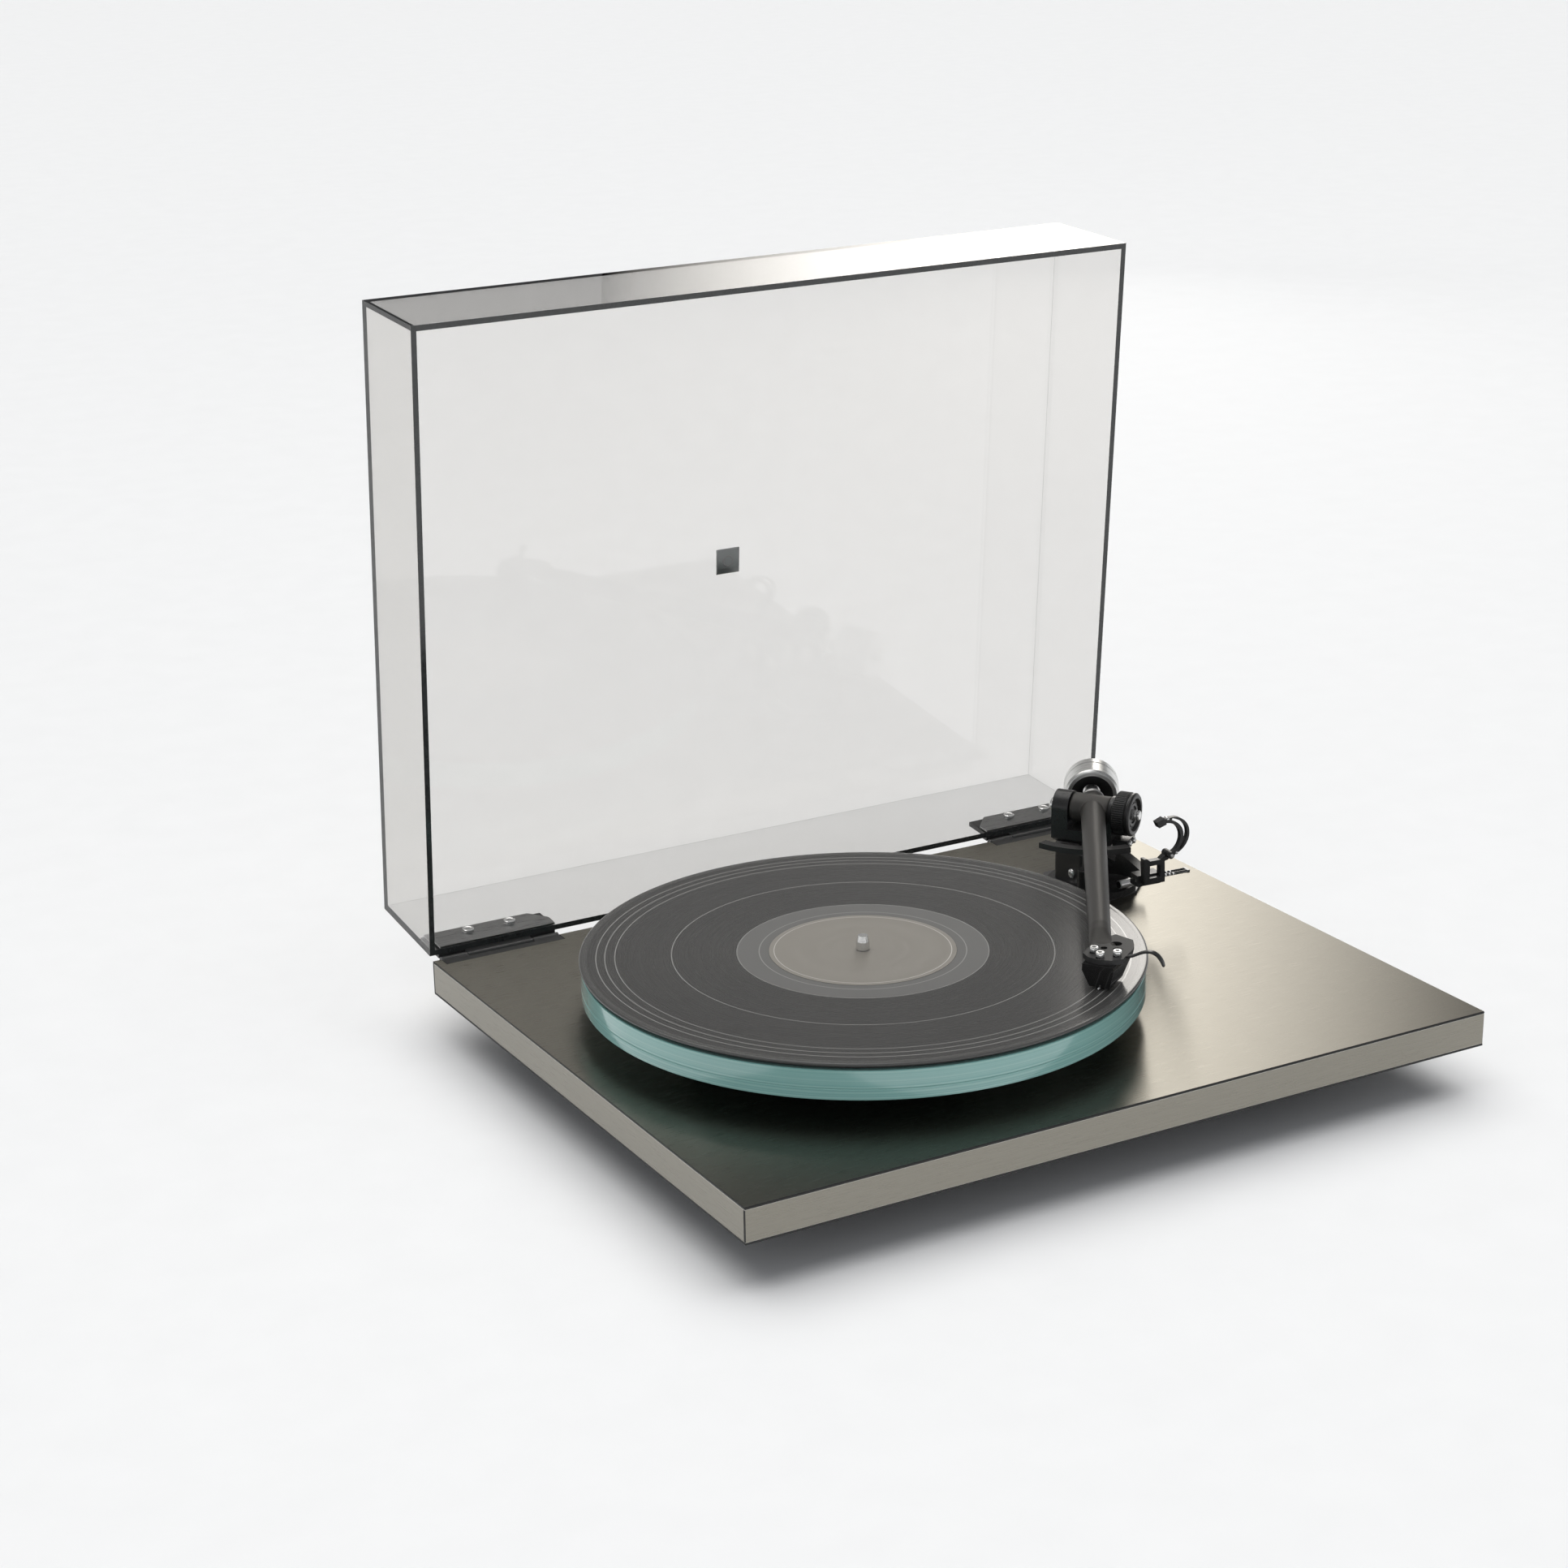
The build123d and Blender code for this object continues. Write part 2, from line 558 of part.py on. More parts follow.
def hinge_fixed():
    """The hinge blocks let into the plinth, with two outer knuckles each."""
    for name, sign in (("hinge_block_left", -1), ("hinge_block_right", 1)):
        middle = sign * HINGE_AT
        with BuildPart() as piece:
            face_y = PLINTH_D - NOTCH_D + HINGE_BLOCK_T
            spot = level(middle, PLINTH_D - NOTCH_D + HINGE_BLOCK_T / 2, HINGE_BLOCK_Z)
            block(spot, HINGE_W, HINGE_BLOCK_T, -HINGE_BLOCK_Z)
            for end in (-1, 1):
                x = middle + end * (HINGE_W + KNUCKLE_W) / 4
                length = (HINGE_W - KNUCKLE_W) / 2 - NOTCH_GAP
                x += end * NOTCH_GAP / 2
                reach = HINGE_Y - face_y
                shelf = level(x, face_y + reach / 2, -HINGE_DROP - BARREL_R)
                block(shelf, length, reach, 2 * BARREL_R - 1)
                barrel = across(level(x - length / 2, HINGE_Y, -HINGE_DROP))
                rod(barrel, BARREL_R, length)
            bore = across(level(middle - HINGE_W / 2, HINGE_Y, -HINGE_DROP))
            rod(bore, PIN_R, HINGE_W, Mode.SUBTRACT)
            for x in (middle - HINGE_SCREW_STEP, middle + HINGE_SCREW_STEP):
                rod(edgeways(level(x, face_y, HINGE_SCREW_Z)), BOLT_R, 10, Mode.SUBTRACT)
        save(piece, name)
    with BuildPart() as pins:
        for sign in (-1, 1):
            start = sign * HINGE_AT - HINGE_W / 2
            rod(across(level(start, HINGE_Y, -HINGE_DROP)), PIN_R, HINGE_W)
    save(pins, "hinge_pins")
    with BuildPart() as screws:
        for x in HINGE_SCREW_X:
            spot = level(x, PLINTH_D - NOTCH_D + HINGE_BLOCK_T, HINGE_SCREW_Z)
            out = Plane(origin=spot.origin, x_dir=(-1, 0, 0), z_dir=(0, 1, 0))
            cross_screw(out, 2.6, 1.4, HINGE_BLOCK_T + 11)
    save(screws, "hinge_block_screws")


def hinge_leaves():
    """The moving leaves outside the lid's rear wall, with the middle knuckle each."""
    for name, sign in (("hinge_leaf_left", -1), ("hinge_leaf_right", 1)):
        middle = sign * HINGE_AT
        with BuildPart() as leaf:
            block(rear_wall(middle, LEAF_LIFT + LEAF_H / 2), HINGE_W, LEAF_H, LEAF_T)
            start = across(lid(middle - KNUCKLE_W / 2, HINGE_Y, -HINGE_DROP))
            rod(start, BARREL_R, KNUCKLE_W)
            neck_z = LID_GAP + LEAF_LIFT - (-HINGE_DROP)
            near = LID_REAR + 0.05 - HINGE_Y
            far = LID_REAR + LEAF_T - 0.4 - HINGE_Y
            low = 0.9
            wide = BARREL_R * 0.9
            outline = [(near, neck_z + 1), (far, neck_z + 1), (far, neck_z), (wide, low), (-wide, low)]
            slab(start, outline, KNUCKLE_W)
            rod(start, PIN_R + RUNNING_GAP, KNUCKLE_W, Mode.SUBTRACT)
            for step in (-LID_SCREW_STEP, LID_SCREW_STEP):
                rod(rear_wall(middle + step, LID_SCREW_UP), BOLT_R, LEAF_T, Mode.SUBTRACT)
        save(leaf, name)


def lid_parts():
    """The clear lid, the clamp plates and screws of its hinges, and the roof badge."""
    middle_y = LID_REAR - LID_D / 2
    roof = LID_GAP + LID_H
    with BuildPart() as shell:
        with BuildSketch(lid(0, middle_y, LID_GAP)) as outer:
            Rectangle(LID_W, LID_D)
        extrude(outer.sketch, amount=LID_H, taper=LID_DRAFT)
        with BuildSketch(lid(0, middle_y, LID_GAP)) as inner:
            Rectangle(LID_W - 2 * LID_WALL, LID_D - 2 * LID_WALL)
        extrude(inner.sketch, amount=LID_H - LID_WALL, taper=LID_DRAFT, mode=Mode.SUBTRACT)
        block(lid(0, middle_y, roof - BADGE_T), BADGE, BADGE, BADGE_T, Mode.SUBTRACT)
        for x in LID_SCREW_X:
            rod(rear_wall(x, LID_SCREW_UP, -LID_WALL - 1), BOLT_R, LID_WALL + 2, Mode.SUBTRACT)
    save(shell, "lid_shell")
    with BuildPart() as clamps:
        for sign in (-1, 1):
            spot = rear_wall(sign * HINGE_AT, LEAF_LIFT, -WALL_NORMAL)
            back = Plane(origin=spot.origin, x_dir=(sign, 0, 0), z_dir=-spot.z_dir)
            half = HINGE_W / 2
            run = sign * CLAMP_H
            outline = [(-half + 9, run), (half - 1, run), (half - 1, 0), (-half, 0)]
            outline += [(-half, sign * (CLAMP_H - 10))]
            slab(back, outline, CLAMP_T)
            for step in (-LID_SCREW_STEP, LID_SCREW_STEP):
                hole = rear_wall(sign * HINGE_AT + step, LID_SCREW_UP, -WALL_NORMAL - 3)
                rod(hole, BOLT_R, 6, Mode.SUBTRACT)
    save(clamps, "hinge_clamps")
    with BuildPart() as screws:
        for x in LID_SCREW_X:
            spot = rear_wall(x, LID_SCREW_UP, -WALL_NORMAL - CLAMP_T)
            inward = Plane(origin=spot.origin, x_dir=(1, 0, 0), z_dir=-spot.z_dir)
            cross_screw(inward, 3.3, 2.0, CLAMP_T + WALL_NORMAL + LEAF_T - 0.2)
    save(screws, "lid_screws")
    with BuildPart() as badge:
        block(lid(0, middle_y, roof - BADGE_T), BADGE - 0.2, BADGE - 0.2, BADGE_T - 0.1)
        with Locations(lid(0, middle_y, roof - 0.1)):
            Cone(3.5, 4.5, 0.5, align=DOWN, mode=Mode.SUBTRACT)
    save(badge, "lid_badge")


# ---------------------------------------------------------------- platter


def subplatter():
    """The hub with the belt groove and its carrying disc, and the spindle through it."""
    with BuildPart() as hub:
        rod(level(PLATTER_X, PLATTER_Y, HUB_BOTTOM), HUB_R, DISC_Z - SUB_DISC_T - HUB_BOTTOM)
        rod(level(PLATTER_X, PLATTER_Y, DISC_Z - SUB_DISC_T), SUB_DISC_R, SUB_DISC_T)
        groove = BELT_W + 2 * BELT_GAP
        with BuildSketch(level(PLATTER_X, PLATTER_Y, BELT_Z - groove / 2)) as ring:
            Circle(HUB_R + 1)
            Circle(HUB_GROOVE_R, mode=Mode.SUBTRACT)
        extrude(ring.sketch, amount=groove, mode=Mode.SUBTRACT)
        rod(level(PLATTER_X, PLATTER_Y, 0), SHAFT_R, 40, Mode.SUBTRACT)
        with Locations(level(PLATTER_X, PLATTER_Y, DISC_Z - SUB_DISC_T)):
            with PolarLocations(75, 6):
                Cylinder(9, SUB_DISC_T, align=UP, mode=Mode.SUBTRACT)
    save(hub, "subplatter")
    low = BORE_LOW + 2 * BALL_R + 0.1
    shoulder = DISC_Z
    relief = RECORD_Z
    with BuildPart() as spindle:
        rod(level(PLATTER_X, PLATTER_Y, low), SHAFT_R, shoulder - low)
        rod(level(PLATTER_X, PLATTER_Y, shoulder), SPINDLE_R, relief + PIN_LENGTH - shoulder)
        with Locations(level(PLATTER_X, PLATTER_Y, relief + PIN_LENGTH)):
            Cone(SPINDLE_R, SPINDLE_TIP_R, SPINDLE_OVER_RECORD - PIN_LENGTH, align=UP)
        with BuildSketch(level(PLATTER_X, PLATTER_Y, relief - SEAT_RELIEF)) as ring:
            Circle(SPINDLE_R + 1)
            Circle(SPINDLE_R - SEAT_RELIEF, mode=Mode.SUBTRACT)
        extrude(ring.sketch, amount=2 * SEAT_RELIEF, mode=Mode.SUBTRACT)
    save(spindle, "spindle")


def disc(name, radius, bottom, height, inner, edge=0.0):
    """A round plate on the platter's axis with a centre hole and softened rims."""
    with BuildPart() as plate:
        rod(level(PLATTER_X, PLATTER_Y, bottom), radius, height)
        rod(level(PLATTER_X, PLATTER_Y, bottom), inner, height, Mode.SUBTRACT)
        if edge:
            rims = plate.edges().filter_by(GeomType.CIRCLE).group_by(SortBy.RADIUS)[-1]
            chamfer(rims, length=edge)
    save(plate, name)


def platter_stack():
    """Glass disc and ring, mat, record and label."""
    hole = SPINDLE_R + SEAT_GAP
    disc("platter_ring", PLATTER_R, PLATTER_RISE, GLASS_RING_T, GLASS_RING_IN_R, 0.5)
    disc("platter_disc", PLATTER_R, DISC_Z, GLASS_DISC_T, hole, 0.5)
    disc("mat", MAT_R, MAT_Z, MAT_T, hole)
    with BuildPart() as record:
        rod(level(PLATTER_X, PLATTER_Y, RECORD_Z - RECORD_T), RECORD_R, RECORD_T)
        rims = record.edges().filter_by(GeomType.CIRCLE)
        chamfer(rims, length=0.5)
        rod(level(PLATTER_X, PLATTER_Y, RECORD_Z - RECORD_T), hole, RECORD_T, Mode.SUBTRACT)
        rod(level(PLATTER_X, PLATTER_Y, RECORD_Z - LABEL_T), LABEL_R, LABEL_T, Mode.SUBTRACT)
    save(record, "record_disc")
    disc("record_label", LABEL_R - 0.1, RECORD_Z - LABEL_T, LABEL_T, hole)


def drive():
    """The motor pulley on its shaft, and the belt round pulley and hub."""
    groove = BELT_W + 2 * BELT_GAP
    with BuildPart() as pulley:
        rod(level(MOTOR_X, MOTOR_Y, BELT_Z - groove / 2 - 1), PULLEY_R, groove + 2)
        with BuildSketch(level(MOTOR_X, MOTOR_Y, BELT_Z - groove / 2)) as ring:
            Circle(PULLEY_R + 1)
            Circle(PULLEY_GROOVE_R, mode=Mode.SUBTRACT)
        extrude(ring.sketch, amount=groove, mode=Mode.SUBTRACT)
        rod(level(MOTOR_X, MOTOR_Y, -13), MOTOR_SHAFT_R, BELT_Z + 13)
    save(pulley, "motor_pulley")
    plane = polar(PLATTER_X, PLATTER_Y, BELT_Z - BELT_W / 2, MOTOR_ANGLE)
    with BuildPart() as belt:
        with BuildSketch(plane) as outer:
            Circle(HUB_R)
            with Locations((MOTOR_REACH, 0)):
                Circle(PULLEY_R)
            make_hull()
        with BuildSketch(plane) as inner:
            Circle(HUB_R - BELT_T)
            with Locations((MOTOR_REACH, 0)):
                Circle(PULLEY_R - BELT_T)
            make_hull()
        extrude(outer.sketch, amount=BELT_W)
        extrude(inner.sketch, amount=BELT_W, mode=Mode.SUBTRACT)
    save(belt, "drive_belt")


# ---------------------------------------------------------------- arm base


def arm_base():
    """The arm's foot: threaded post, round flange, square pillar and lift boss."""
    low = PLINTH_BOTTOM - BRACE_T - 6
    with BuildPart() as base:
        rod(level(PIVOT_X, PIVOT_Y, BRACE_T), FLANGE_R, FLANGE_T)
        with BuildSketch(level(PIVOT_X, PIVOT_Y, BRACE_T)) as square:
            RectangleRounded(BASE_W, BASE_W, 6)
        extrude(square.sketch, amount=BASE_TOP - BRACE_T)
        run = POST_REACH - BASE_W / 2 + 1
        block(polar(PIVOT_X, PIVOT_Y, BOSS_LOW, LIFT_ANGLE, POST_REACH - run / 2), run, 6, BOSS_H - 2)
        boss = polar(PIVOT_X, PIVOT_Y, BOSS_LOW, LIFT_ANGLE, POST_REACH)
        rod(boss, LIFT_POST_R + 2.5, BOSS_H)
        rod(boss, LIFT_POST_R + RUNNING_GAP, BOSS_H, Mode.SUBTRACT)
        rod(level(PIVOT_X, PIVOT_Y, low), POST_R - FIT, BRACE_T - low)
        rod(level(PIVOT_X, PIVOT_Y, -8), YOKE_SHAFT_R + RUNNING_GAP, 40, Mode.SUBTRACT)
        for angle in BASE_SCREWS:
            rod(polar(PIVOT_X, PIVOT_Y, BRACE_T, angle, BASE_SCREW_AT), BOLT_R, FLANGE_T, Mode.SUBTRACT)
        rod(across(level(PIVOT_X - BASE_W / 2, PIVOT_Y - 5, 14.4)), BOLT_R, 6, Mode.SUBTRACT)
        rod(across(level(PIVOT_X + BASE_W / 2 - 6, LEVER_Y, LEVER_Z)), BOLT_R, 6, Mode.SUBTRACT)
    save(base, "arm_base")
    with BuildPart() as screws:
        for angle in BASE_SCREWS:
            spot = polar(PIVOT_X, PIVOT_Y, BRACE_T + FLANGE_T, angle, BASE_SCREW_AT)
            cross_screw(spot, 2.6, 1.6, FLANGE_T)
        spot = level(PIVOT_X - BASE_W / 2, PIVOT_Y - 5, 14.4)
        left = Plane(origin=spot.origin, x_dir=(0, 1, 0), z_dir=(-1, 0, 0))
        cross_screw(left, 3.0, 1.8, 6)
    save(screws, "arm_base_screws")


def arm_rest():
    """The bracket that carries the arm rest, the bias block and the windowed rest itself."""
    under = BASE_TOP - 0.2
    back = REST_REACH - 9
    with BuildPart() as rest:
        outline = [(BASE_W / 2 - 1, under - 11.4), (BASE_W / 2 - 1, under), (CLEAR_R, under)]
        outline += [(CLEAR_R + 2, under + 7.1), (CLEAR_R + 19, under + 5.1), (back, FRAME_Z + 4.5)]
        outline += [(back, FRAME_Z - 2), (CLEAR_R + 9, FRAME_Z - 4.5)]
        slab(edgeways(park(0, 3, 0)), outline, 6)
        block(park(REST_REACH - 6, -1.5, FRAME_Z - 2), 8, 15, 6.5)
        block(level(PIVOT_X, PIVOT_Y, 0), BASE_W, BASE_W, BASE_TOP, Mode.SUBTRACT)
        frame = across(park(REST_REACH - 2, 0, 0))
        outline = [(-6.6, FRAME_Z), (6.6, FRAME_Z), (6.2, HORN_Z - 3.1)]
        outline += [(CLIP_PIN_SIDE, HORN_Z - 2.6), (CLIP_PIN_SIDE + 1.8, HORN_Z - 0.1)]
        outline += [(CLIP_PIN_SIDE, CLIP_PIN_Z), (6.0, HORN_Z + 0.1), (3.4, SADDLE_Z), (-3.4, SADDLE_Z)]
        outline += [(-5.6, HORN_Z), (-7.4, HORN_Z), (-7.4, HORN_Z - 3.1)]
        slab(frame, outline, 4)
        rod(local(frame, CLIP_PIN_SIDE, CLIP_PIN_Z), 2.1, 4)
        low = FRAME_Z + 3.5
        high = SADDLE_Z - 2.9
        slab(frame, [(-3.4, low), (3.4, low), (3.4, high), (-3.4, high)], 4, Mode.SUBTRACT)
        rod(local(frame, CLIP_PIN_SIDE, CLIP_PIN_Z), CLIP_PIN_R, 4, Mode.SUBTRACT)
        for reach in BIAS_RODS:
            rod(edgeways(park(reach, 10, BIAS_Z)), BIAS_R + RUNNING_GAP, 30, Mode.SUBTRACT)
    save(rest, "arm_rest")


def local(plane, x, y):
    """The same plane with its origin moved within itself."""
    return Plane(origin=plane.from_local_coords((x, y, 0)), x_dir=plane.x_dir, z_dir=plane.z_dir)


def sector(radius, start, end):
    """The corner points of a wide wedge from one angle to another, in degrees."""
    middle = (start + end) / 2
    angles = (start, (start + middle) / 2, middle, (end + middle) / 2, end)
    wide = radius * 2.5
    rim = [(wide * math.cos(math.radians(a)), wide * math.sin(math.radians(a))) for a in angles]
    return [(0, 0)] + rim


def arm_clip():
    """The swinging crescent that locks the parked arm, shown open."""
    pin = local(across(park(REST_REACH + 2.4, 0, 0)), CLIP_PIN_SIDE, CLIP_PIN_Z)
    turn = math.radians(CLIP_CLOSED - CLIP_OPEN)
    middle = local(pin, CLIP_R * math.cos(turn), CLIP_R * math.sin(turn))
    start = CLIP_CLOSED - CLIP_OPEN - 180
    with BuildPart() as clip:
        with BuildSketch(middle) as arc:
            Circle(CLIP_R + CLIP_HALF)
            Circle(CLIP_R - CLIP_HALF, mode=Mode.SUBTRACT)
            with BuildLine():
                Polyline(*sector(CLIP_R, start, start + CLIP_ARC), close=True)
            make_face(mode=Mode.INTERSECT)
        extrude(arc.sketch, amount=CLIP_T)
        for low, high in ((28, 82), (98, 150)):
            with BuildSketch(middle) as slot:
                Circle(CLIP_R + CLIP_SLOT_HALF)
                Circle(CLIP_R - CLIP_SLOT_HALF, mode=Mode.SUBTRACT)
                with BuildLine():
                    Polyline(*sector(CLIP_R, start + low, start + high), close=True)
                make_face(mode=Mode.INTERSECT)
            extrude(slot.sketch, amount=CLIP_T, mode=Mode.SUBTRACT)
        rod(pin, 2.1, CLIP_T)
        rod(pin, CLIP_PIN_R + RUNNING_GAP, CLIP_T, Mode.SUBTRACT)
        tip = math.radians(start + CLIP_ARC)
        tab = local(middle, CLIP_R * math.cos(tip), CLIP_R * math.sin(tip))
        block(tab.rotated((0, 0, start + CLIP_ARC - 90)), 1.6, 2 * CLIP_HALF + 0.6, CLIP_T + 1.6)
    save(clip, "arm_clip")


def bias_slider():
    """Two rods joined by an end bar, sliding across under the arm rest."""
    with BuildPart() as slider:
        for reach in BIAS_RODS:
            rod(edgeways(park(reach, BIAS_OUT, BIAS_Z)), BIAS_R, BIAS_OUT + 9)
        width = BIAS_RODS[1] - BIAS_RODS[0] + 2 * BIAS_R
        middle = (BIAS_RODS[0] + BIAS_RODS[1]) / 2
        block(park(middle, BIAS_OUT - 0.6, BIAS_Z - BIAS_R), width, 1.6, 2 * BIAS_R)
    save(slider, "bias_slider")


def cueing():
    """The cue lever with its handle, the pivot pins and the curved lift platform."""
    side_x = PIVOT_X + BASE_W / 2
    hub = across(level(side_x + 0.4, LEVER_Y, LEVER_Z))
    with BuildPart() as lever:
        rod(hub, 3.6, LEVER_T)
        slab(hub, [(1, 3), (-1.5, -3), (HANDLE_Y - 2, HANDLE_Z - 2.2), (HANDLE_Y - 2, HANDLE_Z + 2)], LEVER_T)
        rod(hub, BOLT_R + RUNNING_GAP, LEVER_T, Mode.SUBTRACT)
        rod(local(hub, HANDLE_Y, HANDLE_Z).offset(-HANDLE_L), HANDLE_R, HANDLE_L + 1)
    save(lever, "cue_lever")
    with BuildPart() as pins:
        rod(across(level(side_x - 6, LEVER_Y, LEVER_Z)), BOLT_R, 6.6 + LEVER_T)
        rod(across(level(side_x + 0.6 + LEVER_T, LEVER_Y, LEVER_Z)), 2.8, 1.2)
        spot = local(across(park(REST_REACH - 2.6, 0, 0)), CLIP_PIN_SIDE, CLIP_PIN_Z)
        rod(spot, CLIP_PIN_R, 9)
    save(pins, "pivot_pins")
    bottom = LIFT_TOP - LIFT_T
    with BuildPart() as lift:
        with BuildSketch(polar(PIVOT_X, PIVOT_Y, bottom, 0)) as arc:
            Circle(LIFT_REACH + 3)
            Circle(LIFT_REACH - 3, mode=Mode.SUBTRACT)
            with BuildLine():
                Polyline(*sector(LIFT_REACH, LIFT_FROM, LIFT_TO), close=True)
            make_face(mode=Mode.INTERSECT)
        extrude(arc.sketch, amount=LIFT_T)
        run = LIFT_REACH - POST_REACH
        block(polar(PIVOT_X, PIVOT_Y, bottom, LIFT_ANGLE, POST_REACH + run / 2), run, 5, LIFT_T)
        foot = BOSS_LOW + 0.5
        rod(polar(PIVOT_X, PIVOT_Y, foot, LIFT_ANGLE, POST_REACH), LIFT_POST_R, LIFT_TOP - foot)
    save(lift, "lift_platform")


# ---------------------------------------------------------------- tone arm


def yoke():
    """The fork that turns on the base and carries the pitch axis, with its shaft."""
    low = AXIS_Z - YOKE_DROP
    top = AXIS_Z - WEB_DROP
    with BuildPart() as fork:
        width = CHEEK_L_OUT + CHEEK_R_OUT
        middle = (CHEEK_R_OUT - CHEEK_L_OUT) / 2
        block(pitch(0, middle, low), 2 * CHEEK_HALF, width, top - low)
        for outer, inner in ((-CHEEK_L_OUT, -CHEEK_IN), (CHEEK_IN, CHEEK_R_OUT)):
            spot = pitch(0, (inner + outer) / 2, low)
            block(spot, 2 * CHEEK_HALF, inner - outer, YOKE_DROP)
            cheek = edgeways(pitch(0, inner, AXIS_Z))
            rod(cheek, CHEEK_HALF, inner - outer)
        edges = fork.edges().filter_by(Axis.Z, reverse=True).sort_by(Axis.Z)[0:4]
        chamfer(edges, length=2.5)
        block(pitch(0, CHEEK_R_OUT + 4.5, low + 1), 13, 9, 4.6)
        rod(edgeways(pitch(0, 30, AXIS_Z)), AXLE_R + RUNNING_GAP, 49, Mode.SUBTRACT)
        rod(edgeways(pitch(0, -18, AXIS_Z)), BOLT_R, 10, Mode.SUBTRACT)
        rod(level(PIVOT_X, PIVOT_Y, BASE_TOP + 0.3), 8, low - BASE_TOP - 0.3)
        rod(level(PIVOT_X, PIVOT_Y, -7), YOKE_SHAFT_R, low + 7)
    save(fork, "yoke")
    with BuildPart() as screws:
        spot = pitch(0, -CHEEK_L_OUT, AXIS_Z)
        out = Plane(origin=spot.origin, x_dir=spot.x_dir, z_dir=-spot.y_dir)
        cross_screw(out, 3.2, 1.8, 3)
        for along in (-3.2, 3.2):
            spot = pitch(along, CHEEK_R_OUT + 9, low + 3.3)
            out = Plane(origin=spot.origin, x_dir=spot.x_dir, z_dir=spot.y_dir)
            rod(out, 1.7, 1.6)
    save(screws, "yoke_screws")


def dial():
    """The tracking-force dial and the bolt it turns on."""
    start = CHEEK_R_OUT + 0.3
    base = Plane(origin=pitch(0, start).origin, x_dir=(0, 0, 1), z_dir=pitch().y_dir)
    with BuildPart() as knob:
        rod(base, DIAL_R, DIAL_T)
        rims = knob.edges().filter_by(GeomType.CIRCLE).group_by(SortBy.RADIUS)[-1]
        chamfer(rims, length=0.8)
        rod(base.offset(DIAL_T - 1.6), DIAL_R - 3, 2, Mode.SUBTRACT)
        with Locations(base):
            with PolarLocations(DIAL_R, 48):
                Cylinder(0.35, DIAL_T - 3, align=UP, mode=Mode.SUBTRACT)
        rod(base, BOLT_R + RUNNING_GAP, DIAL_T, Mode.SUBTRACT)
    save(knob, "force_dial")
    with BuildPart() as bolt:
        rod(base.offset(-0.3), BOLT_R, DIAL_T - 0.9)
        rod(base.offset(DIAL_T - 1.3), 3.2, 4.2)
        chamfer(bolt.edges().filter_by(GeomType.CIRCLE).group_by(SortBy.RADIUS)[-1], length=0.6)
    save(bolt, "dial_bolt")


def arm_tube():
    """The tapered tube with its pivot hub and the slotted headshell in one piece."""
    hub = Plane(origin=pitch(0, -HUB_HALF).origin, x_dir=(0, 0, 1), z_dir=pitch().y_dir)
    with BuildPart() as tube:
        with Locations(across(arm())):
            Cone(TUBE_R, TUBE_END_R, TUBE_END, align=UP)
        with Locations(arm(TUBE_END)):
            Sphere(TUBE_END_R)
        rod(hub, HUB_BOSS_R, 2 * HUB_HALF)
        rod(across(arm(-REAR_BOSS)), TUBE_R - 0.8, REAR_BOSS)
        rod(across(arm(-REAR_BOSS)), TUBE_BORE_R, TUBE_END + REAR_BOSS - 14, Mode.SUBTRACT)
        outline = [(-27, -4.6), (-13, -HEAD_HALF), (4, -HEAD_HALF), (8.5, -6.5), (10, 0), (8.5, 6.5)]
        outline += [(4, HEAD_HALF), (-10, HEAD_HALF), (-23, 6.4)]
        slab(head(z=HEAD_BOTTOM), outline, HEAD_T)
        rod(hub, AXLE_R, 2 * HUB_HALF, Mode.SUBTRACT)
        for along, side, radius in ((-14.5, 0.4, 3.0), (-7.5, 3.6, 2.4), (-6.5, -3.4, 1.8)):
            rod(head(along, side, HEAD_BOTTOM - 6), radius, 14, Mode.SUBTRACT)
        for along, side in HEAD_SCREWS:
            with BuildSketch(head(along, side, HEAD_BOTTOM)) as slot:
                SlotOverall(7, 3.2)
            extrude(slot.sketch, amount=HEAD_T, mode=Mode.SUBTRACT)
        block(head(-2, 0, HEAD_BOTTOM - 6), CARTRIDGE_L + 1, 2 * HEAD_HALF, 6, Mode.SUBTRACT)
    save(tube, "arm_tube")
    with BuildPart() as axle:
        start = Plane(origin=pitch(0, -AXLE_L).origin, x_dir=(0, 0, 1), z_dir=pitch().y_dir)
        rod(start, AXLE_R, AXLE_L + CHEEK_R_OUT - 0.1)
    save(axle, "pitch_axle")
    with BuildPart() as stub:
        back = across(arm(-REAR_BOSS))
        back = Plane(origin=back.origin, x_dir=back.x_dir, z_dir=-back.z_dir)
        rod(back, TUBE_R, 3)
        rod(back, STUB_R, STUB_END - REAR_BOSS)
    save(stub, "rear_stub")


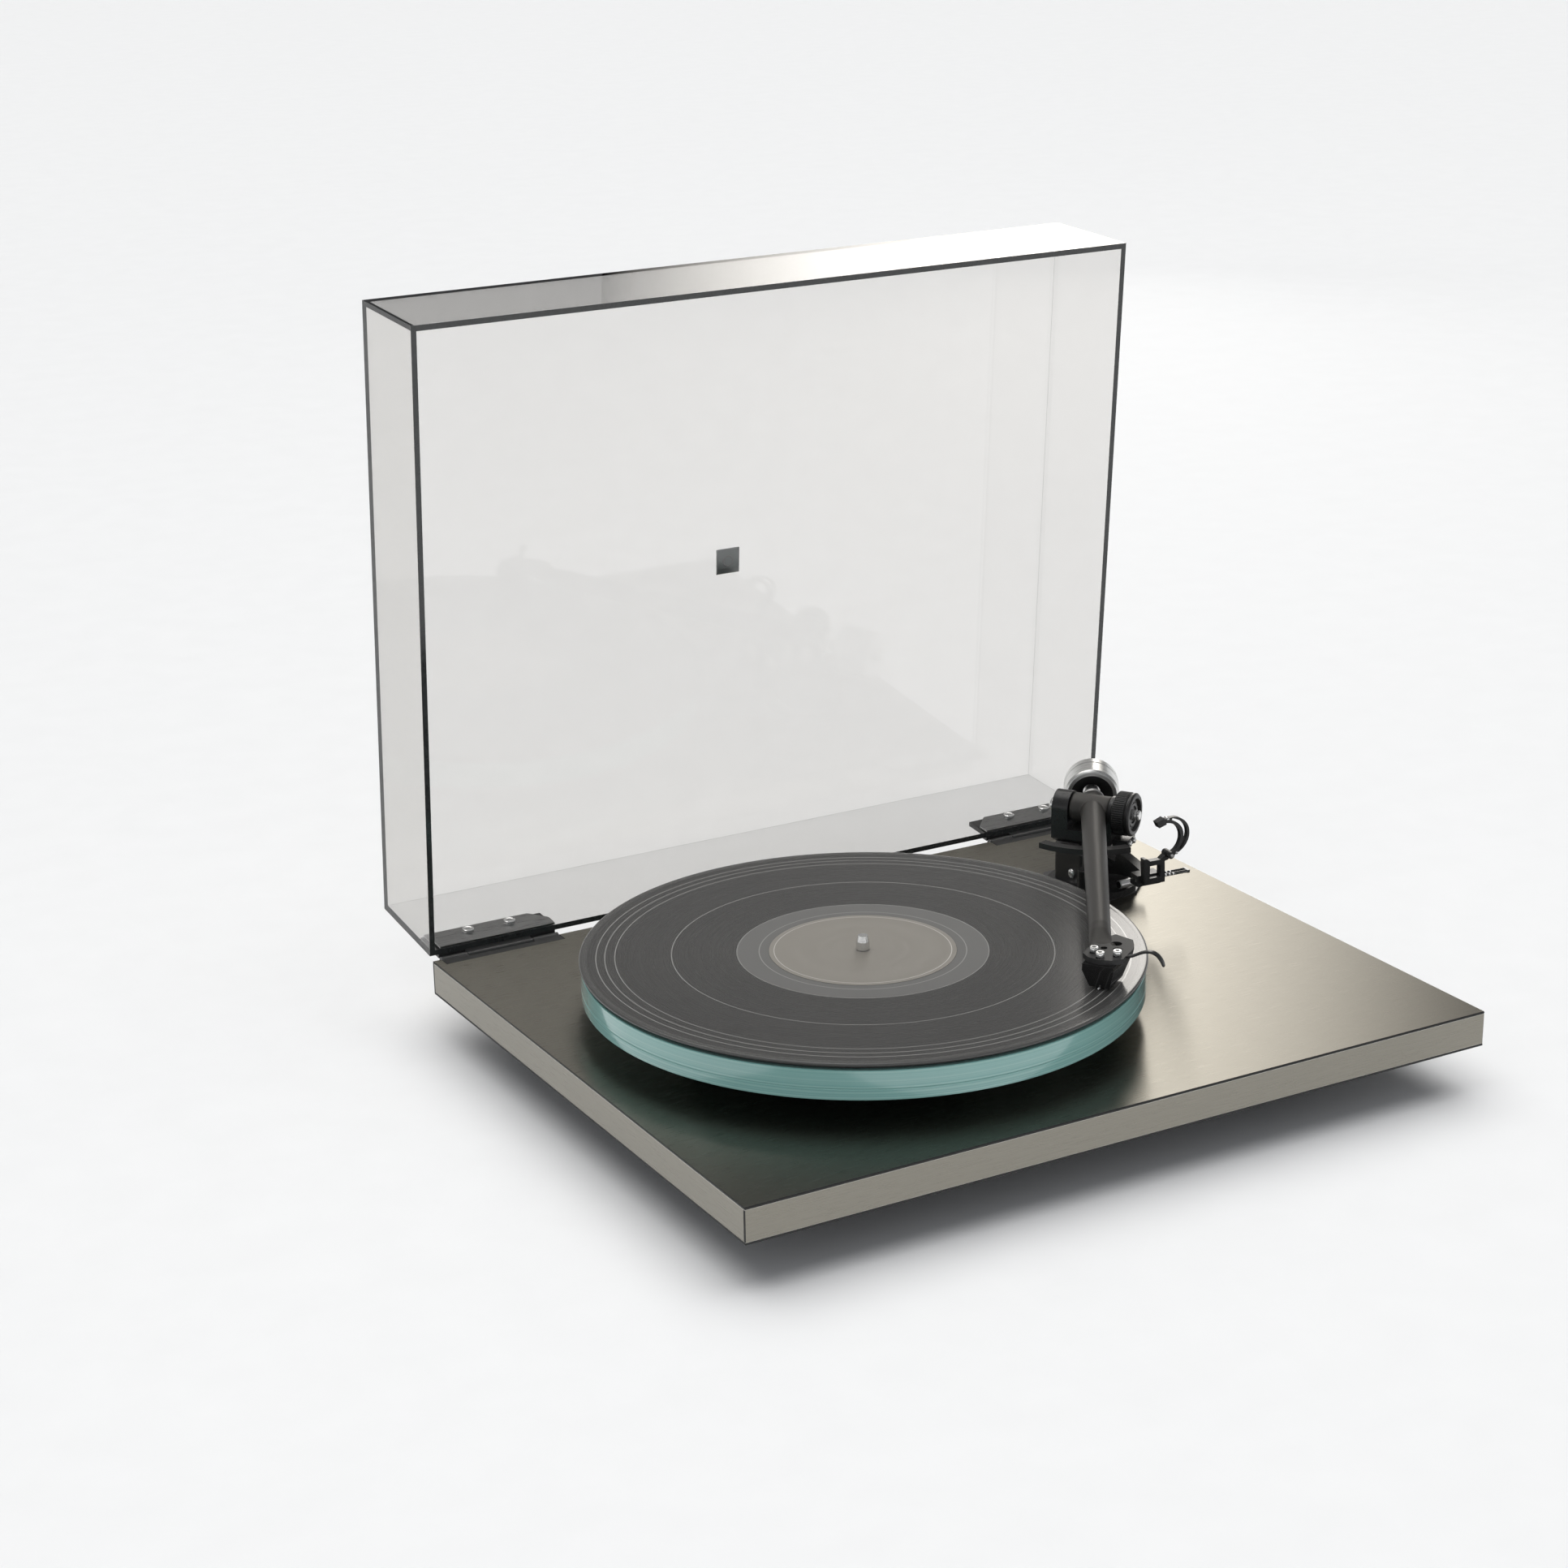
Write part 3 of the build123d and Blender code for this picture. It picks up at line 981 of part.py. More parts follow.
def head_parts():
    """Finger lift, cartridge, stylus and the three cartridge screws."""
    mid = HEAD_TOP - 0.7
    spots = [(HEAD_HALF, mid), (15, mid + 1.2), (19, mid + 3.6), (23, mid + 4.8)]
    spots += [(27, mid + 3.8), (29.6, mid + 1), (31, mid - 2.8)]
    upper = [(x, z + 0.7) for x, z in spots[:4]] + [(27.5, mid + 4.4), (30.3, mid + 1.2), (31.7, mid - 2.8)]
    lower = [(x, z - 0.7) for x, z in spots[:4]] + [(26.5, mid + 3.2), (28.9, mid + 0.8), (30.3, mid - 2.8)]
    with BuildPart() as finger:
        with BuildSketch(across(head(z=0))) as ribbon:
            with BuildLine():
                Spline(*upper)
                Line(upper[-1], lower[-1])
                Spline(*reversed(lower))
                Line(lower[0], upper[0])
            make_face()
        extrude(ribbon.sketch, amount=-3.4)
    save(finger, "finger_lift")
    body_low = RECORD_Z + 1.3
    mid_z = HEAD_BOTTOM - 3.6
    lean = math.degrees(math.atan(3.0 / (mid_z - body_low)))
    with BuildPart() as cartridge:
        block(head(-1, 0, mid_z), CARTRIDGE_L, CARTRIDGE_W, HEAD_BOTTOM - mid_z)
        with BuildSketch(head(-1, 0, mid_z)) as top:
            Rectangle(CARTRIDGE_L, CARTRIDGE_W)
        extrude(top.sketch, amount=body_low - mid_z, taper=lean)
        for along, side in HEAD_SCREWS:
            rod(head(along, side, HEAD_BOTTOM - 4), CART_SCREW_R, 4, Mode.SUBTRACT)
    save(cartridge, "cartridge")
    with BuildPart() as stylus:
        block(head(4.5, 0, body_low - 0.6), 5, 4.6, 0.6)
        block(head(8.2, 0, body_low - 0.5), 3.6, 0.8, 0.4)
        with Locations(head(SCREW_TO_TIP, 0, body_low - 0.5)):
            Cone(0.06, 0.36, TIP_H, align=DOWN)
    save(stylus, "stylus")
    with BuildPart() as screws:
        for along, side in HEAD_SCREWS:
            spot = head(along, side, HEAD_TOP)
            rod(spot, 2.3, 2.6)
            with Locations(spot):
                Cylinder(CART_SCREW_R, HEAD_T + 3.6, align=DOWN)
            with BuildSketch(spot.offset(1.2)) as key:
                RegularPolygon(1.2, 6)
            extrude(key.sketch, amount=1.4, mode=Mode.SUBTRACT)
    save(screws, "cartridge_screws")


def counterweight():
    """The heavy ring on the rear stub, bored off centre, with a conical mouth."""
    spot = across(arm(WEIGHT_AT, 0, AXIS_Z - WEIGHT_DROP))
    back = Plane(origin=spot.origin, x_dir=spot.x_dir, z_dir=-spot.z_dir)
    bore = across(arm(WEIGHT_AT))
    bore = Plane(origin=bore.origin, x_dir=bore.x_dir, z_dir=-bore.z_dir)
    with BuildPart() as weight:
        rod(back, WEIGHT_R, WEIGHT_L)
        rims = weight.edges().filter_by(GeomType.CIRCLE)
        chamfer(rims, length=1.6)
        with Locations(back):
            Cone(WEIGHT_R - 3.2, 6.5, 8, align=UP, mode=Mode.SUBTRACT)
        rod(bore.offset(-1), STUB_R + RUNNING_GAP, WEIGHT_L + 2, Mode.SUBTRACT)
    save(weight, "counterweight")


def main():
    """Writes every piece to the parts folder."""
    os.makedirs("parts", exist_ok=True)
    plinth_core()
    skins()
    edge_bands()
    braces()
    main_bearing()
    motor()
    feet()
    sockets()
    hinge_fixed()
    hinge_leaves()
    lid_parts()
    subplatter()
    platter_stack()
    drive()
    arm_base()
    arm_rest()
    arm_clip()
    bias_slider()
    cueing()
    yoke()
    dial()
    arm_tube()
    head_parts()
    counterweight()


main()
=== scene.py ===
"""Looks of the belt-driven record player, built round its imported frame."""

from __future__ import annotations

import json
import logging
import math
from dataclasses import dataclass
from enum import Enum

import bmesh
import bpy
from mathutils import Matrix, Vector


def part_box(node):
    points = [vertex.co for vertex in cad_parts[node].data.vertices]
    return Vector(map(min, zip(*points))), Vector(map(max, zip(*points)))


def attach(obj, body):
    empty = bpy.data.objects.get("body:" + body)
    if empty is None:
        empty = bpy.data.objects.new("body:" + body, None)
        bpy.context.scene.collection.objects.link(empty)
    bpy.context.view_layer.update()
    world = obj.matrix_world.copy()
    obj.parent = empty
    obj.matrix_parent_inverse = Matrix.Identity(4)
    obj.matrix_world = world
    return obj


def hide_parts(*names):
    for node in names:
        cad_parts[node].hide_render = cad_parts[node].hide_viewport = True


LOG = logging.getLogger("record_player")
MM = 0.001
UP = Vector((0.0, 0.0, 1.0))

Colour = tuple[float, float, float]
Profile = list[tuple[float, float]]

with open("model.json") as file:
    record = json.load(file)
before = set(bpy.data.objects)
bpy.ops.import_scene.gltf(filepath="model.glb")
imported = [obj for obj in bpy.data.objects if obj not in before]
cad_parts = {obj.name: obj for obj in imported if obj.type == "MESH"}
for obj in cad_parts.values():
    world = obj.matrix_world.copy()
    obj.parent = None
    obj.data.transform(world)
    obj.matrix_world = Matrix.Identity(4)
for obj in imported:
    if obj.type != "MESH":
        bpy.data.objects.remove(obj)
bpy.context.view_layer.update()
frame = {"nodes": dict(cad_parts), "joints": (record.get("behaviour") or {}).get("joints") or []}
JOINTS = {joint["name"]: joint for joint in frame["joints"]}


# ------------------------------------------------------------------ finishes


class Grain(Enum):
    """The pattern that breaks up a surface."""

    SPECKLE = "fine moulded speckle"
    BRUSHED = "long scratches along one direction"
    TURNED = "rings left by a lathe"
    PRESSED = "fine concentric grooves"


@dataclass(frozen=True)
class Finish:
    """One surface finish, made as a procedural material.

    The pattern sits in the frame ``place``: scratches run along its x axis,
    lathe rings and grooves go round its z axis.
    """

    name: str
    colour: Colour
    accent: Colour
    grain: Grain = Grain.SPECKLE
    metal: float = 0.0
    rough: float = 0.4
    rough_range: float = 0.1
    fine: float = 900.0
    relief: float = 0.1
    coat: float = 0.0
    clear: float = 0.0
    ior: float = 1.5
    stretch: float = 0.0
    place: Matrix | None = None
    coat_rough: float = 0.08

    def material(self) -> bpy.types.Material:
        """Builds the node material.

        Returns:
            The finished material.
        """
        made = bpy.data.materials.new(self.name)
        made.use_nodes = True
        nodes = made.node_tree.nodes
        shader = nodes["Principled BSDF"]
        shader.inputs["Metallic"].default_value = self.metal
        shader.inputs["Coat Weight"].default_value = self.coat
        shader.inputs["Coat Roughness"].default_value = self.coat_rough
        shader.inputs["Transmission Weight"].default_value = self.clear
        shader.inputs["IOR"].default_value = self.ior
        shader.inputs["Anisotropic"].default_value = self.stretch
        pattern = self._pattern(made)
        self._spread(made, pattern)
        if self.grain is Grain.BRUSHED and self.stretch:
            self._across_grain(made)
        made.diffuse_color = (*self.colour, 1.0)
        return made

    def _across_grain(self, made: bpy.types.Material) -> None:
        """Draws highlights out across the scratches.

        Args:
            made: The material that is being built.
        """
        nodes = made.node_tree.nodes
        turn = (self.place or Matrix.Identity(4)).to_3x3()
        way = nodes.new("ShaderNodeCombineXYZ")
        for axis, value in zip("XYZ", turn @ Vector((0.0, 1.0, 1.0))):
            way.inputs[axis].default_value = value
        made.node_tree.links.new(way.outputs[0], nodes["Principled BSDF"].inputs["Tangent"])

    def _pattern(self, made: bpy.types.Material) -> bpy.types.NodeSocket:
        """Adds the nodes that read the position and give the pattern.

        Args:
            made: The material that is being built.

        Returns:
            The socket with the pattern's value, about 0 to 1.
        """
        nodes = made.node_tree.nodes
        links = made.node_tree.links
        where = nodes.new("ShaderNodeTexCoord")
        turned = nodes.new("ShaderNodeMapping")
        turned.vector_type = "TEXTURE"
        place = self.place or Matrix.Identity(4)
        turned.inputs["Location"].default_value = place.to_translation()
        turned.inputs["Rotation"].default_value = place.to_euler()
        links.new(where.outputs["Object"], turned.inputs["Vector"])
        noise = nodes.new("ShaderNodeTexNoise")
        noise.inputs["Scale"].default_value = self.fine
        noise.inputs["Detail"].default_value = 4.0
        source = turned.outputs["Vector"]
        if self.grain is Grain.BRUSHED:
            squeeze = nodes.new("ShaderNodeVectorMath")
            squeeze.operation = "MULTIPLY"
            squeeze.inputs[1].default_value = (0.02, 1.0, 1.0)
            links.new(source, squeeze.inputs[0])
            source = squeeze.outputs["Vector"]
        elif self.grain in (Grain.TURNED, Grain.PRESSED):
            source = self._radius(made, source)
        links.new(source, noise.inputs["Vector"])
        return noise.outputs["Fac"]

    def _radius(self, made: bpy.types.Material, source: bpy.types.NodeSocket) -> bpy.types.NodeSocket:
        """Adds the nodes that turn a position into its distance from the axis and its height.

        Args:
            made: The material that is being built.
            source: The socket with the position in the pattern's frame.

        Returns:
            The socket with (radius, height, 0).
        """
        nodes = made.node_tree.nodes
        links = made.node_tree.links
        flat = nodes.new("ShaderNodeVectorMath")
        flat.operation = "MULTIPLY"
        flat.inputs[1].default_value = (1.0, 1.0, 0.0)
        links.new(source, flat.inputs[0])
        length = nodes.new("ShaderNodeVectorMath")
        length.operation = "LENGTH"
        links.new(flat.outputs["Vector"], length.inputs[0])
        parts = nodes.new("ShaderNodeSeparateXYZ")
        links.new(source, parts.inputs[0])
        both = nodes.new("ShaderNodeCombineXYZ")
        links.new(length.outputs["Value"], both.inputs["X"])
        links.new(parts.outputs["Z"], both.inputs["Y"])
        return both.outputs["Vector"]

    def _spread(self, made: bpy.types.Material, pattern: bpy.types.NodeSocket) -> None:
        """Leads the pattern to the colour, the roughness and the relief.

        Args:
            made: The material that is being built.
            pattern: The socket with the pattern's value.
        """
        nodes = made.node_tree.nodes
        links = made.node_tree.links
        shader = nodes["Principled BSDF"]
        ramp = nodes.new("ShaderNodeValToRGB")
        ramp.color_ramp.elements[0].position = 0.3
        ramp.color_ramp.elements[0].color = (*self.colour, 1.0)
        ramp.color_ramp.elements[1].position = 0.7
        ramp.color_ramp.elements[1].color = (*self.accent, 1.0)
        links.new(pattern, ramp.inputs["Fac"])
        links.new(ramp.outputs["Color"], shader.inputs["Base Color"])
        reach = nodes.new("ShaderNodeMapRange")
        reach.inputs["From Min"].default_value = 0.3
        reach.inputs["From Max"].default_value = 0.7
        reach.inputs["To Min"].default_value = max(0.0, self.rough - self.rough_range / 2)
        reach.inputs["To Max"].default_value = self.rough + self.rough_range / 2
        links.new(pattern, reach.inputs["Value"])
        links.new(reach.outputs["Result"], shader.inputs["Roughness"])
        if self.relief:
            bump = nodes.new("ShaderNodeBump")
            bump.inputs["Strength"].default_value = self.relief
            bump.inputs["Distance"].default_value = 0.0002
            links.new(pattern, bump.inputs["Height"])
            links.new(bump.outputs["Normal"], shader.inputs["Normal"])


@dataclass(frozen=True)
class PressedVinyl(Finish):
    """Record vinyl: grooved bands, smooth gaps between tracks and a smooth run-out, the smooth rings painted
    lighter as a painted reflection.
    """

    radius: float = 150.8 * MM
    gaps: tuple[tuple[float, float, float], ...] = ()
    gloss: float = 0.16
    # the lighter colour of the smooth rings: a painted reflection
    gap_sheen_colour: Colour = (0.24, 0.238, 0.23)

    def material(self) -> bpy.types.Material:
        """Builds the vinyl, with the smooth rings laid over the grooves in a lighter colour, a painted reflection.

        Returns:
            The finished material.
        """
        made = super().material()
        nodes = made.node_tree.nodes
        links = made.node_tree.links
        shader = nodes["Principled BSDF"]
        where = next(n for n in nodes if n.bl_idname == "ShaderNodeVectorMath" and n.operation == "LENGTH")
        share = nodes.new("ShaderNodeMath")
        share.operation = "DIVIDE"
        share.inputs[1].default_value = self.radius
        links.new(where.outputs["Value"], share.inputs[0])
        ramp = nodes.new("ShaderNodeValToRGB")
        ramp.color_ramp.interpolation = "CONSTANT"
        first = ramp.color_ramp.elements[0]
        first.color = (0.0, 0.0, 0.0, 1.0)
        ramp.color_ramp.elements.remove(ramp.color_ramp.elements[1])
        for low, high, share_of in self.gaps:
            for edge, value in ((low, share_of), (high, 0.0)):
                stop = ramp.color_ramp.elements.new(min(1.0, edge / self.radius))
                stop.color = (value, value, value, 1.0)
        links.new(share.outputs["Value"], ramp.inputs["Fac"])
        # lays the lighter painted-reflection colour on the smooth rings
        self._over(made, ramp.outputs["Color"], shader.inputs["Base Color"], (*self.gap_sheen_colour, 1.0))
        self._over(made, ramp.outputs["Color"], shader.inputs["Roughness"], (self.gloss,) * 3 + (1.0,))
        round_way = nodes.new("ShaderNodeTangent")
        round_way.direction_type = "RADIAL"
        round_way.axis = "Z"
        links.new(round_way.outputs["Tangent"], shader.inputs["Tangent"])
        shader.inputs["Anisotropic Rotation"].default_value = 0.25
        return made

    def _over(
        self,
        made: bpy.types.Material,
        mask: bpy.types.NodeSocket,
        target: bpy.types.NodeSocket,
        value: tuple[float, ...],
    ) -> None:
        """Mixes a value over what already feeds a shader input.

        Args:
            made: The material that is being built.
            mask: The socket that says where the value goes.
            target: The shader input.
            value: The colour, or the grey, that is laid over it.
        """
        links = made.node_tree.links
        mix = made.node_tree.nodes.new("ShaderNodeMix")
        mix.data_type = "RGBA"
        links.new(mask, mix.inputs["Factor"])
        links.new(target.links[0].from_socket, mix.inputs[6])
        mix.inputs[7].default_value = value
        links.new(mix.outputs[2], target)


# -------------------------------------------------------------------- shapes


def placement(origin: Vector, along: Vector, up: Vector = UP) -> Matrix:
    """Makes the matrix of a local frame.

    Args:
        origin: Where the frame's origin lies.
        along: The direction of its x axis.
        up: The direction of its z axis.

    Returns:
        The matrix that carries local points into the object's frame.
    """
    z = Vector(up).normalized()
    x = Vector(along).normalized()
    x = (x - z * x.dot(z)).normalized()
    y = z.cross(x)
    turn = Matrix((x, y, z)).transposed().to_4x4()
    return Matrix.Translation(origin) @ turn


def facing(origin: Vector, z: Vector) -> Matrix:
    """Makes a frame whose z axis points along a direction, however it is turned about it.

    Args:
        origin: Where the frame's origin lies.
        z: The direction of its z axis.

    Returns:
        The matrix of the frame.
    """
    other = UP if abs(Vector(z).normalized().z) < 0.9 else Vector((1.0, 0.0, 0.0))
    return placement(origin, other, z)


def to_object(name: str, shape: bmesh.types.BMesh, place: Matrix | None = None) -> bpy.types.Object:
    """Turns a bmesh into a linked object with its place in its mesh.

    Args:
        name: The piece's name.
        shape: The geometry, which is freed.
        place: The frame that the geometry was drawn in.

    Returns:
        The new object, at the origin.
    """
    if place is not None:
        bmesh.ops.transform(shape, matrix=place, verts=shape.verts)
    bmesh.ops.recalc_face_normals(shape, faces=shape.faces)
    mesh = bpy.data.meshes.new(name)
    shape.to_mesh(mesh)
    shape.free()
    made = bpy.data.objects.new(name, mesh)
    bpy.context.scene.collection.objects.link(made)
    return made


def lathe(name: str, profile: Profile, place: Matrix, steps: int = 96, closed: bool = True) -> bpy.types.Object:
    """Turns a profile round the local z axis.

    Args:
        name: The piece's name.
        profile: (radius, height) points in millimetres; a zero radius closes on the axis.
        place: The local frame.
        steps: How many segments go round.
        closed: Whether the last point joins the first.

    Returns:
        The turned piece.
    """
    shape = bmesh.new()
    rings: list[list[bmesh.types.BMVert]] = []
    for radius, height in profile:
        if radius < 1e-6:
            rings.append([shape.verts.new((0.0, 0.0, height * MM))])
            continue
        ring = []
        for step in range(steps):
            angle = 2 * math.pi * step / steps
            ring.append(shape.verts.new((radius * MM * math.cos(angle), radius * MM * math.sin(angle),
                                         height * MM)))
        rings.append(ring)
    pairs = list(zip(rings, rings[1:]))
    if closed and len(rings[0]) > 1 and len(rings[-1]) > 1:
        pairs.append((rings[-1], rings[0]))
    for low, high in pairs:
        for step in range(steps):
            after = (step + 1) % steps
            corners = [low[step % len(low)], low[after % len(low)], high[after % len(high)], high[step % len(high)]]
            unique = list(dict.fromkeys(corners))
            if len(unique) > 2:
                shape.faces.new(unique)
    return to_object(name, shape, place)


def plate(name: str, outline: Profile, low: float, high: float, place: Matrix) -> bpy.types.Object:
    """Extrudes a closed outline.

    Args:
        name: The piece's name.
        outline: (x, y) points in millimetres.
        low: The lower face's height in millimetres.
        high: The upper face's height in millimetres.
        place: The local frame.

    Returns:
        The plate.
    """
    shape = bmesh.new()
    bottom = [shape.verts.new((x * MM, y * MM, low * MM)) for x, y in outline]
    top = [shape.verts.new((x * MM, y * MM, high * MM)) for x, y in outline]
    shape.faces.new(list(reversed(bottom)))
    shape.faces.new(top)
    for here in range(len(outline)):
        after = (here + 1) % len(outline)
        shape.faces.new((bottom[here], bottom[after], top[after], top[here]))
    return to_object(name, shape, place)


def round_outline(x: float, y: float, radius: float, steps: int = 32) -> Profile:
    """Gives the outline of a circle.

    Args:
        x: The centre's x in millimetres.
        y: The centre's y in millimetres.
        radius: The radius in millimetres.
        steps: How many points it has.

    Returns:
        The outline.
    """
    turns = [2 * math.pi * step / steps for step in range(steps)]
    return [(x + radius * math.cos(turn), y + radius * math.sin(turn)) for turn in turns]


def loft(name: str, rings: list[list[Vector]], place: Matrix) -> bpy.types.Object:
    """Skins a row of rings that have the same number of points, and closes both ends.

    Args:
        name: The piece's name.
        rings: The rings' points in millimetres.
        place: The local frame.

    Returns:
        The skinned piece.
    """
    shape = bmesh.new()
    made = [[shape.verts.new(point * MM) for point in ring] for ring in rings]
    for low, high in zip(made, made[1:]):
        for here in range(len(low)):
            after = (here + 1) % len(low)
            shape.faces.new((low[here], low[after], high[after], high[here]))
    shape.faces.new(list(reversed(made[0])))
    shape.faces.new(made[-1])
    return to_object(name, shape, place)


def oval(x: float, y: float, z: float, half_y: float, half_z: float, steps: int = 40) -> list[Vector]:
    """Gives an upright oval ring that faces along x.

    Args:
        x: The ring's place along x in millimetres.
        y: The centre's y.
        z: The centre's z.
        half_y: Half its width.
        half_z: Half its height.
        steps: How many points it has.

    Returns:
        The ring's points.
    """
    turns = [2 * math.pi * step / steps for step in range(steps)]
    return [Vector((x, y + half_y * math.cos(turn), z + half_z * math.sin(turn))) for turn in turns]


def settle(piece: bpy.types.Object) -> bpy.types.Object:
    """Turns a piece's modifiers into plain mesh.

    Args:
        piece: The piece.

    Returns:
        The same piece, with no modifier left.
    """
    graph = bpy.context.evaluated_depsgraph_get()
    graph.update()
    mesh = bpy.data.meshes.new_from_object(piece.evaluated_get(graph))
    old = piece.data
    piece.modifiers.clear()
    piece.data = mesh
    mesh.name = piece.name
    bpy.data.meshes.remove(old)
    return piece


def ease(piece: bpy.types.Object, width: float, steps: int = 2, angle: float = 35.0) -> bpy.types.Object:
    """Rounds a piece's sharp edges, with normals weighted so that flats stay flat.

    Args:
        piece: The piece.
        width: The width of the rounding in millimetres; none where it is 0.
        steps: How many segments it has.
        angle: The least angle, in degrees, of an edge that is rounded.

    Returns:
        The same piece.
    """
    if width:
        bevel = piece.modifiers.new("ease", "BEVEL")
        bevel.width = width * MM
        bevel.segments = steps
        bevel.limit_method = "ANGLE"
        bevel.angle_limit = math.radians(angle)
        bevel.use_clamp_overlap = True
        settle(piece)
    piece.data.shade_smooth()
    piece.data.set_sharp_from_angle(angle=math.radians(50.0 if width else angle))
    weighted = piece.modifiers.new("weighted", "WEIGHTED_NORMAL")
    weighted.keep_sharp = True
    return settle(piece)


def carve(piece: bpy.types.Object, *cutters: bpy.types.Object, union: bool = False) -> bpy.types.Object:
    """Cuts other shapes out of a piece, or joins them to it.

    Args:
        piece: The piece.
        cutters: The shapes, which are used up.
        union: Whether the shapes are joined on instead.

    Returns:
        The same piece.
    """
    for cutter in cutters:
        cut = piece.modifiers.new("cut", "BOOLEAN")
        cut.operation = "UNION" if union else "DIFFERENCE"
        cut.solver = "EXACT"
        cut.object = cutter
        settle(piece)
        bpy.data.objects.remove(cutter)
    return piece


def from_frame(node: str, name: str, width: float, steps: int = 2) -> bpy.types.Object:
    """Makes a visible piece from a frame node, with its edges eased, and lets it stand for the node.

    Args:
        node: The frame node.
        name: The piece's name.
        width: The width of the rounding in millimetres.
        steps: How many segments it has.

    Returns:
        The new piece.
    """
    shape = bmesh.new()
    shape.from_mesh(frame["nodes"][node].data)
    bmesh.ops.remove_doubles(shape, verts=shape.verts, dist=2e-6)
    flat = math.radians(0.6)
    bmesh.ops.dissolve_limit(shape, angle_limit=flat, verts=shape.verts, edges=shape.edges)
    piece = to_object(name, shape)
    ease(piece, width, steps)
    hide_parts(node)
    return piece


def islands(node: str) -> list[tuple[Vector, list[Vector]]]:
    """Splits a frame node into its separate solids.

    Args:
        node: The frame node.

    Returns:
        Each solid's box centre and its points, in the order of x, then y, then z.
    """
    shape = bmesh.new()
    shape.from_mesh(frame["nodes"][node].data)
    bmesh.ops.remove_doubles(shape, verts=shape.verts, dist=2e-6)
    left = set(shape.verts)
    found = []
    while left:
        seed = left.pop()
        group = [seed]
        for vert in group:
            for edge in vert.link_edges:
                other = edge.other_vert(vert)
                if other in left:
                    left.remove(other)
                    group.append(other)
        points = [vert.co.copy() for vert in group]
        low = Vector([min(p[i] for p in points) for i in range(3)])
        high = Vector([max(p[i] for p in points) for i in range(3)])
        found.append(((low + high) / 2, points))
    shape.free()
    return sorted(found, key=lambda item: tuple(round(value, 5) for value in item[0]))


def paint(piece: bpy.types.Object, *materials: bpy.types.Material) -> bpy.types.Object:
    """Gives a piece its materials in place of what it had.

    Args:
        piece: The piece.
        materials: The materials, one for each slot.

    Returns:
        The same piece.
    """
    piece.data.materials.clear()
    for material in materials:
        piece.data.materials.append(material)
    return piece


def mount(piece: bpy.types.Object, body: str) -> bpy.types.Object:
    """Sets a finished piece on its body.

    Args:
        piece: The piece.
        body: The body that it moves with.

    Returns:
        The same piece.
    """
    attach(piece, body)
    LOG.info("%s on %s: %d faces", piece.name, body, len(piece.data.polygons))
    return piece


def by_normal(piece: bpy.types.Object, main: list[Vector], edge: int, easing: int) -> None:
    """Gives the faces that look one of the main ways slot 0, other flats and the eased edges their own.

    Args:
        piece: The piece, with at least three material slots.
        main: The directions of the main faces.
        edge: The slot of the other flat faces.
        easing: The slot of the eased edges.
    """
    axes = [Vector(axis) for axis in ((1, 0, 0), (0, 1, 0), (0, 0, 1))]
    for face in piece.data.polygons:
        if any(face.normal.dot(way) > 0.98 for way in main):
            face.material_index = 0
        elif any(abs(face.normal.dot(axis)) > 0.98 for axis in axes):
            face.material_index = edge
        else:
            face.material_index = easing


# ------------------------------------------------------------------- repeats


class Head(Enum):
    """The kinds of screw head."""

    CROSS = "domed with a cross recess"
    SOCKET = "round with a hexagon socket"
    DOME = "plain dome"


class Tree:
    """A geometry node tree with named inputs, built in the script."""

    def __init__(self, name: str, sizes: dict[str, float]) -> None:
        """Opens the tree.

        Args:
            name: The tree's name.
            sizes: The named inputs, in metres or as counts.
        """
        self.tree = bpy.data.node_groups.new(name, "GeometryNodeTree")
        face = self.tree.interface
        face.new_socket("Geometry", in_out="INPUT", socket_type="NodeSocketGeometry")
        self.keys: dict[str, str] = {}
        for label, value in sizes.items():
            kind = "NodeSocketInt" if isinstance(value, int) else "NodeSocketFloat"
            self.keys[label] = face.new_socket(label, in_out="INPUT", socket_type=kind).identifier
        face.new_socket("Geometry", in_out="OUTPUT", socket_type="NodeSocketGeometry")
        self.sizes = sizes
        self.start = self.tree.nodes.new("NodeGroupInput")
        self.end = self.tree.nodes.new("NodeGroupOutput")

    def add(self, kind: str, **values: object) -> bpy.types.Node:
        """Adds a node and sets or links its inputs.

        Args:
            kind: The node's type.
            values: Input names, with _ for spaces, and a socket or a value for each.

        Returns:
            The node.
        """
        node = self.tree.nodes.new(kind)
        for label, value in values.items():
            target = node.inputs[label.replace("_", " ")]
            if isinstance(value, bpy.types.NodeSocket):
                self.tree.links.new(value, target)
            else:
                target.default_value = value
        return node

    def size(self, label: str) -> bpy.types.NodeSocket:
        """Gives the socket of a named input."""
        return self.start.outputs[label]

    def finish(self, piece: bpy.types.Object, shape: bpy.types.NodeSocket, coat: bpy.types.Material) -> None:
        """Ends the tree, runs it on a piece and keeps the plain mesh.

        Args:
            piece: The piece that carries the points or base shape.
            shape: The socket with the instances or mesh.
            coat: The material of what the tree makes.
        """
        real = self.add("GeometryNodeRealizeInstances", Geometry=shape)
        dressed = self.add("GeometryNodeSetMaterial", Geometry=real.outputs[0])
        dressed.inputs["Material"].default_value = coat
        self.tree.links.new(dressed.outputs[0], self.end.inputs[0])
        run = piece.modifiers.new(self.tree.name, "NODES")
        run.node_group = self.tree
        for label, value in self.sizes.items():
            run[self.keys[label]] = value
        settle(piece)


